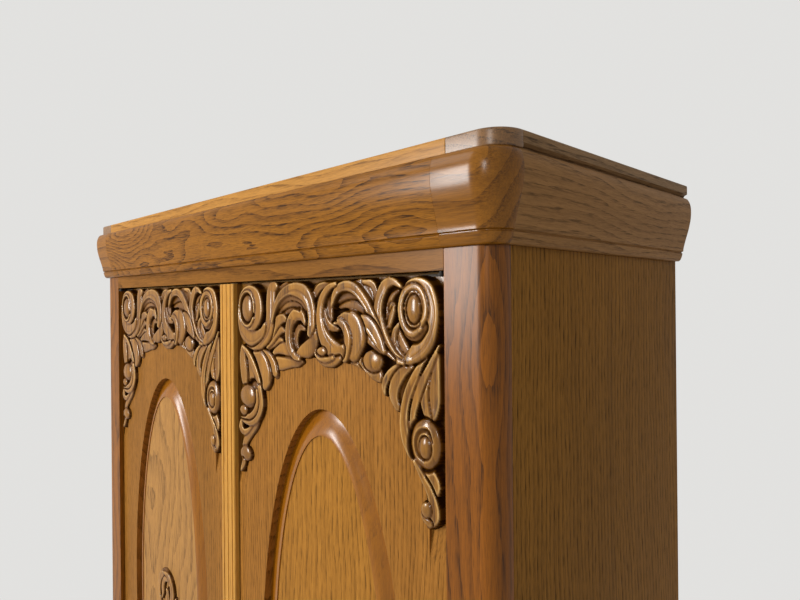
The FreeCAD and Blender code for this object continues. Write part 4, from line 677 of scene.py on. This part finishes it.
def around(grid, points, margin):
    """The part of the grid near some points."""
    xs, zs = grid
    low_x, high_x = min(p[0] for p in points) - margin, max(p[0] for p in points) + margin
    low_z, high_z = min(p[1] for p in points) - margin, max(p[1] for p in points) + margin
    part = np.s_[slice(*np.searchsorted(xs, (low_x, high_x))), slice(*np.searchsorted(zs, (low_z, high_z)))]
    return part, np.meshgrid(xs[part[0]], zs[part[1]], indexing="ij")


def off_line(points, at_x, at_z):
    """Distance to a form's line, half its width there and the side of the line."""
    gap = np.full(at_x.shape, 1e9)
    half = np.ones(at_x.shape)
    side = np.ones(at_x.shape)
    line = gouge_line(points)
    for start, end in zip(line, line[1:]):
        run_x, run_z, grow = end - start
        length = run_x * run_x + run_z * run_z + 1e-12
        share = np.clip(((at_x - start[0]) * run_x + (at_z - start[1]) * run_z) / length, 0, 1)
        off_x = at_x - start[0] - share * run_x
        off_z = at_z - start[1] - share * run_z
        width = start[2] + share * grow
        beyond = np.hypot(off_x, off_z) - width
        nearer = beyond < gap
        gap = np.where(nearer, beyond, gap)
        half = np.where(nearer, width, half)
        side = np.where(nearer, np.sign(run_x * off_z - run_z * off_x), side)
    return gap + half, half, side


def raise_sweep(relief, wood, grid, top, lean, hollow, points):
    """A long form: lean moves its ridge to one side, and hollow and a great width scoop out its middle."""
    part, (at_x, at_z) = around(grid, points, max(p[2] for p in points) + MOAT_REACH)
    gap, half, side = off_line(points, at_x, at_z)
    across = np.clip(gap / half, 0, 1) * side
    ridge = RIDGE_SHIFT * lean
    shoulder = np.where(across > ridge, (across - ridge) / (1 - ridge), (across - ridge) / (1 + ridge))
    scoop = hollow + WIDE_SCOOP * np.clip(half - 1, 0, 1)
    swell = np.clip(1 - np.abs(shoulder) ** SWELL_POWER, 0, 1) ** 0.5 - scoop * (1 - across ** 2) ** 2
    fall = FALL_BASE + FALL_SHARE * half
    beside = np.maximum(top - fall - MOAT_DROP + MOAT_SLOPE * (gap - half), CARVING_GROUND)
    relief[part] = np.where(gap <= half, top - fall * (1 - swell), np.minimum(relief[part], beside))
    wood[part] |= gap <= half + 0.15


def raise_ball(relief, wood, grid, top, x, z, half_x, half_z):
    """A round swelling."""
    half = min(half_x, half_z)
    part, (at_x, at_z) = around(grid, [(x - half_x, z - half_z), (x + half_x, z + half_z)], MOAT_REACH)
    out = np.hypot((at_x - x) / half_x, (at_z - z) / half_z)
    fall = FALL_BASE + FALL_SHARE * half
    beside = np.maximum(top - fall - MOAT_DROP + MOAT_SLOPE * (out - 1) * half, CARVING_GROUND)
    swollen = top - fall * (1 - np.sqrt(np.clip(1 - out * out, 0, 1)))
    relief[part] = np.where(out <= 1, swollen, np.minimum(relief[part], beside))
    wood[part] |= out <= 1.05


def cut_vein(relief, grid, depth, points):
    """A groove cut along a form."""
    part, (at_x, at_z) = around(grid, points, max(p[2] for p in points) + 0.3)
    gap, half, _ = off_line(points, at_x, at_z)
    relief[part] -= depth * (1 - np.clip(gap / half, 0, 1) ** 2)


def cut_forms(relief, wood, grid, forms):
    """Every form in turn, from the lowest to the one that lies on top."""
    for kind, *shape in forms:
        if kind == "ball":
            raise_ball(relief, wood, grid, shape[0], *shape[1])
        elif kind == "vein":
            cut_vein(relief, grid, *shape)
        else:
            raise_sweep(relief, wood, grid, kind, *shape)


def softened(values, times):
    """Values evened out with their neighbours."""
    for _ in range(times):
        values = np.pad(values, 1, mode="edge")
        values = (values[:-2] + 2 * values[1:-1] + values[2:]) / 4
        values = (values[:, :-2] + 2 * values[:, 1:-1] + values[:, 2:]) / 4
    return values


def within(outline, at_x, at_z):
    """Which places lie inside a closed outline."""
    inside = np.zeros(at_x.shape, bool)
    for (x0, z0), (x1, z1) in zip(outline, outline[1:] + outline[:1]):
        if z0 != z1:
            beside = at_x < x0 + (at_z - z0) * (x1 - x0) / (z1 - z0)
            inside ^= (at_z < max(z0, z1)) & (at_z >= min(z0, z1)) & beside
    return inside


def sunk_share(relief, cell):
    """How far the neighbours stand over each place: 0 on an open top, 1 in a deep gap."""
    total = np.zeros(relief.shape)
    for step_x, step_z in ((1, 0), (1, 1), (0, 1), (-1, 1), (-1, 0), (-1, -1), (0, -1), (1, -1)):
        steepest = np.zeros(relief.shape)
        for reach in (1, 2, 3, 5, 7, 10):
            wide = np.pad(relief, reach, mode="edge")
            from_x, from_z = reach * (1 + step_x), reach * (1 + step_z)
            beside = wide[from_x:from_x + relief.shape[0], from_z:from_z + relief.shape[1]]
            steepest = np.maximum(steepest, (beside - relief) / (cell * reach * math.hypot(step_x, step_z)))
        total += steepest / np.sqrt(1 + steepest ** 2)
    return total / 8


def rising(values, low, high):
    """Nothing up to low, one from high on, and an even rise between."""
    return np.clip((values - low) / (high - low), 0, 1)


def relief_piece(name, node, material, grid, relief, wood, keep, place, rear):
    """Carved piece from the heights of its face, closed behind at Y = rear."""
    xs, zs = grid
    overhung = sunk_share(relief, CARVING_UNIT / MILLIMETRE * (xs[1] - xs[0]))
    # painted shade: near black in the gaps that the neighbouring forms stand over
    hollow = rising(overhung, *HOLLOW_PAINTED_SHADE)
    # painted shade in amber on the sides of forms that others stand over
    amber_shade = rising(overhung, *AMBER_PAINTED_SHADE)
    # pale ridges: rubbed wear and a painted highlight along the tops of the forms
    wear = rising(relief - softened(relief, 6), *RIDGE_WEAR_AND_HIGHLIGHT) * (1 - amber_shade)
    # painted shade on the faces that slope downwards, the undersides of the forms
    underside_shade = rising(-np.gradient(softened(relief, 8), axis=1), *UNDERSIDE_PAINTED_SHADE)
    bm = bmesh.new()
    bmesh.ops.create_grid(bm, x_segments=len(xs) - 1, y_segments=len(zs) - 1, size=0.5)
    layers = {kind: bm.verts.layers.float.new(kind) for kind in ("hollows", "worn_and_highlit_edges", "shaded", "ground")}
    for vert in bm.verts:
        column = round((vert.co.x + 0.5) * (len(xs) - 1))
        row = round((vert.co.y + 0.5) * (len(zs) - 1))
        vert[layers["hollows"]] = hollow[column, row]
        vert[layers["worn_and_highlit_edges"]] = wear[column, row]
        vert[layers["shaded"]] = max(amber_shade[column, row], underside_shade[column, row])
        vert[layers["ground"]] = not wood[column, row]
        vert.co = place(xs[column], relief[column, row], zs[row])
        vert.tag = not keep[column, row]
    cut_away = [face for face in bm.faces if all(vert.tag for vert in face.verts)]
    bmesh.ops.delete(bm, geom=cut_away, context="FACES")
    rim = [edge for edge in bm.edges if edge.is_boundary]
    for part in bmesh.ops.extrude_edge_only(bm, edges=rim)["geom"]:
        if isinstance(part, bmesh.types.BMVert):
            part.co.y = rear
    bmesh.ops.holes_fill(bm, edges=[edge for edge in bm.edges if edge.is_boundary], sides=0)
    bmesh.ops.recalc_face_normals(bm, faces=bm.faces)
    for face in bm.faces:
        face.smooth = True
    piece = finished(bm, name, material)
    piece.data.set_sharp_from_angle(angle=math.radians(75))
    return seat(piece, node)


# how round a form is, and how far its edge falls
SWELL_POWER = 2.8
FALL_BASE = 1.2
FALL_SHARE = 1.15
RIDGE_SHIFT = 0.7
WIDE_SCOOP = 0.17
# the narrow gap round each form
MOAT_REACH = 1.2
MOAT_DROP = 1.7
MOAT_SLOPE = 9.0
# where each painted shade, and the worn and painted-highlit ridges, begin and are full
HOLLOW_PAINTED_SHADE = (0.2, 0.46)
AMBER_PAINTED_SHADE = (0.02, 0.18)
RIDGE_WEAR_AND_HIGHLIGHT = (0.15, 1.05)
UNDERSIDE_PAINTED_SHADE = (0.0, 0.8)
# heights are in millimetres; under the tails the ground rises towards their ends
MILLIMETRE = 0.001
TAIL_START = 62
TAIL_LENGTH = 11
TAIL_RISE = 7
CARVING_REAR = 0.00695
LEAF_REAR = 0.001
CARVING_STEP = 0.235
LEAF_STEP = 0.2
carving_grid = (np.arange(0.55, 101.1, CARVING_STEP), np.arange(0.12, 72.6, CARVING_STEP))
carving_x, carving_z = np.meshgrid(*carving_grid, indexing="ij")
ground = within(GROUND_OUTLINE, carving_x, carving_z)
tails = ((carving_x < 6) | (carving_x > 94.5)) & (carving_z >= TAIL_START)
tail_ground = np.minimum(CARVING_GROUND + TAIL_RISE * (carving_z - TAIL_START) / TAIL_LENGTH, -0.1)
carving_relief = np.where(ground, CARVING_GROUND, UNDER_FACE)
carving_relief = np.where(tails, tail_ground, carving_relief)
carving_wood = np.zeros(carving_relief.shape, bool)
cut_forms(carving_relief, carving_wood, carving_grid, CARVING_FORMS)
lowest = np.where(ground | tails, CARVING_GROUND, UNDER_FACE)
carving_relief = softened(np.maximum(carving_relief, lowest), 1)
carving_kept = carving_wood | (ground & (carving_z < TAIL_START - 1))
leaf_grid = (np.arange(-10.6, 10.6, LEAF_STEP), np.arange(-13.4, 14.2, LEAF_STEP))
leaf_relief = np.full((len(leaf_grid[0]), len(leaf_grid[1])), PANEL_FACE)
leaf_wood = np.zeros(leaf_relief.shape, bool)
cut_forms(leaf_relief, leaf_wood, leaf_grid, LEAF_FORMS)
leaf_relief = softened(np.maximum(leaf_relief, PANEL_FACE), 1)
# the carving's colours: worn and painted-highlit ridges, painted shade on sides and undersides, the door's
# colour on the bare ground, and painted shade in the hollows
carving_marks_and_shade = [
    ("worn_and_highlit_edges", 0.8, (0.72, 0.43, 0.14)), ("shaded", 0.85, (0.125, 0.042, 0.001)),
    ("ground", 0.9, (0.2, 0.085, 0.012)), ("hollows", 0.96, (0.014, 0.004, 0.0004))]


def on_door(start, top):
    """Where a place on a drawing lies on the door, for a drawing that starts at start and top."""
    return lambda x, height, z: (start + x * CARVING_UNIT, DOOR_FACE - MILLIMETRE * height,
                                 top - z * CARVING_UNIT)


for side, start in FIELD_START.items():
    carving_oak = oak(side + " carving oak", "Z", (0.4, 0.175, 0.018), (0.09, 0.03, 0.0008), (0.1, 0.3, 0.0),
                      contrast=0.4, coat=0.7, coat_rough=0.2, stain=1.2, marks_and_shade=carving_marks_and_shade)
    relief_piece(side + "_carving_relief", side + "_carving", carving_oak, carving_grid, carving_relief,
                 carving_wood, carving_kept, on_door(start, DOOR_TOP), DOOR_FACE + CARVING_REAR)
    relief_piece(side + "_leaf_relief", side + "_leaf_ornament", carving_oak, leaf_grid, leaf_relief,
                 leaf_wood, leaf_wood, on_door(start + FIELD_WIDTH / 2, OVAL_MIDDLE), DOOR_FACE + LEAF_REAR)


# Centre strip: a slim oak strip with three grooves, glued to the left door so
# that it covers the line where the doors meet. It is the lightest piece.

planed("centre_strip", oak("strip oak", "Z", (0.64, 0.325, 0.06), (0.4, 0.175, 0.026), (-0.2, 0.0, 0.0),
                           rings=200, sweep=0.01, contrast=0.3, pores=0.4, coat=0.3), 0.0004)


# Lock: a steel rim lock screwed to the right door's back, and its keeper on the
# left door. A brass key goes in through a brass escutcheon pinned to the front.

steel = metal("satin steel", (0.5, 0.49, 0.47), 0.3, 0.15)
brass = metal("aged brass", (0.5, 0.36, 0.15), 0.28, 0.2)
for node, edge in (("lock_case", 0.0004), ("lock_bolt", 0.0005), ("lock_keeper", 0.0002)):
    planed(node, steel, edge)
for node in ("key", "escutcheon"):
    planed(node, brass, 0.0003)


# Slide bolts: flat steel bars with knobs, one at the top and one at the bottom.
# They run in guides screwed to the left door's back and hold it to the rails.

for node in ("bolt_guides", "top_bolt", "bottom_bolt"):
    planed(node, steel, 0.0004)


# Studio: a plain pale floor and surround, two soft window lights in front and one
# from above, and the camera where the photograph was taken, just under the top.

STUDIO_PALE = (0.76, 0.755, 0.74, 1.0)
FLOOR_HALF = 30.0
FLOOR_FADE = (0.8, 2.2)


def seen_directly(tree):
    """One for a ray from the camera, a mirror or glass, and nothing for one that only lights the object."""
    path = tree.nodes.new("ShaderNodeLightPath")
    total = path.outputs["Is Camera Ray"]
    for kind in ("Is Glossy Ray", "Is Transmission Ray"):
        total = reckoned(tree, "ADD", total, path.outputs[kind], clamp=True)
    return total


def shown_as(tree, share, lit, seen, output):
    """The surface that is lit, or the plain one that is seen in its place, by share."""
    choice = tree.nodes.new("ShaderNodeMixShader")
    for value, socket in zip((share, lit.outputs[0], seen.outputs[0]), choice.inputs):
        tree.links.new(value, socket)
    tree.links.new(choice.outputs[0], tree.nodes[output].inputs["Surface"])


floor_paint, paint, floor_surface = new_material("pale floor")
floor_surface.inputs["Base Color"].default_value = STUDIO_PALE
floor_surface.inputs["Roughness"].default_value = 0.9
floor_surface.inputs["Specular IOR Level"].default_value = 0.1
away = paint.nodes.new("ShaderNodeVectorMath")
away.operation = "LENGTH"
paint.links.new(paint.nodes.new("ShaderNodeTexCoord").outputs["Object"], away.inputs[0])
fade = ranged(paint, away.outputs["Value"], *FLOOR_FADE)
floor_glow = paint.nodes.new("ShaderNodeEmission")
floor_glow.inputs["Color"].default_value = STUDIO_PALE
floor_share = reckoned(paint, "MULTIPLY", fade, seen_directly(paint))
shown_as(paint, floor_share, floor_surface, floor_glow, "Material Output")
floor_bm = bmesh.new()
bmesh.ops.create_grid(floor_bm, x_segments=1, y_segments=1, size=FLOOR_HALF)
finished(floor_bm, "studio_floor", floor_paint)

world = bpy.data.worlds.new("studio")
bpy.context.scene.world = world
world.use_nodes = True
air = world.node_tree
sky = air.nodes["Background"]
sky.inputs["Color"].default_value = (1.0, 0.97, 0.93, 1.0)
sky.inputs["Strength"].default_value = 0.32
shown = air.nodes.new("ShaderNodeBackground")
shown.inputs["Color"].default_value = STUDIO_PALE
shown_as(air, seen_directly(air), sky, shown, "World Output")


def soft_light(name, place, target, size, power, colour):
    """A rectangular soft light that faces a point."""
    lamp = bpy.data.lights.new(name, "AREA")
    lamp.shape = "RECTANGLE"
    lamp.size, lamp.size_y = size
    lamp.energy = power
    lamp.color = colour
    light = bpy.data.objects.new(name, lamp)
    light.location = place
    light.rotation_euler = (Vector(target) - Vector(place)).to_track_quat("-Z", "Y").to_euler()
    bpy.context.scene.collection.objects.link(light)


soft_light("window", (-1.6, -3.03, 2.0), (0.2, -0.2, 1.4), (0.45, 1.3), 88.0, (1.0, 0.98, 0.95))
soft_light("far window", (1.3, -2.6, 2.3), (0.4, -0.25, 1.5), (0.35, 0.45), 14.0, (1.0, 0.98, 0.95))
soft_light("ceiling", (-0.7, -1.3, 2.9), (0.1, 0.0, 1.4), (1.0, 0.9), 10.0, (1.0, 0.97, 0.93))

CAMERA_PLACE = (0.9542, -0.7601, 1.5368)
CAMERA_LENS = 26.93
CAMERA_WIDTH = 36.0
CAMERA_YAW = math.radians(45.069)
CAMERA_PITCH = math.radians(0.041)
CAMERA_ROLL = math.radians(-0.526)
ahead = Vector((-math.sin(CAMERA_YAW), math.cos(CAMERA_YAW), math.tan(CAMERA_PITCH))).normalized()
across = Vector((math.cos(CAMERA_YAW), math.sin(CAMERA_YAW), 0.0))
above = across.cross(ahead)
right = across * math.cos(CAMERA_ROLL) + above * math.sin(CAMERA_ROLL)
top = above * math.cos(CAMERA_ROLL) - across * math.sin(CAMERA_ROLL)
camera_data = bpy.data.cameras.new("photograph")
camera_data.lens = CAMERA_LENS
camera_data.sensor_width = CAMERA_WIDTH
camera_data.sensor_fit = "HORIZONTAL"
camera = bpy.data.objects.new("photograph", camera_data)
camera.matrix_world = Matrix.Translation(CAMERA_PLACE) @ Matrix((right, top, -ahead)).transposed().to_4x4()
bpy.context.scene.collection.objects.link(camera)
bpy.context.scene.camera = camera
bpy.context.scene.view_settings.view_transform = "Standard"
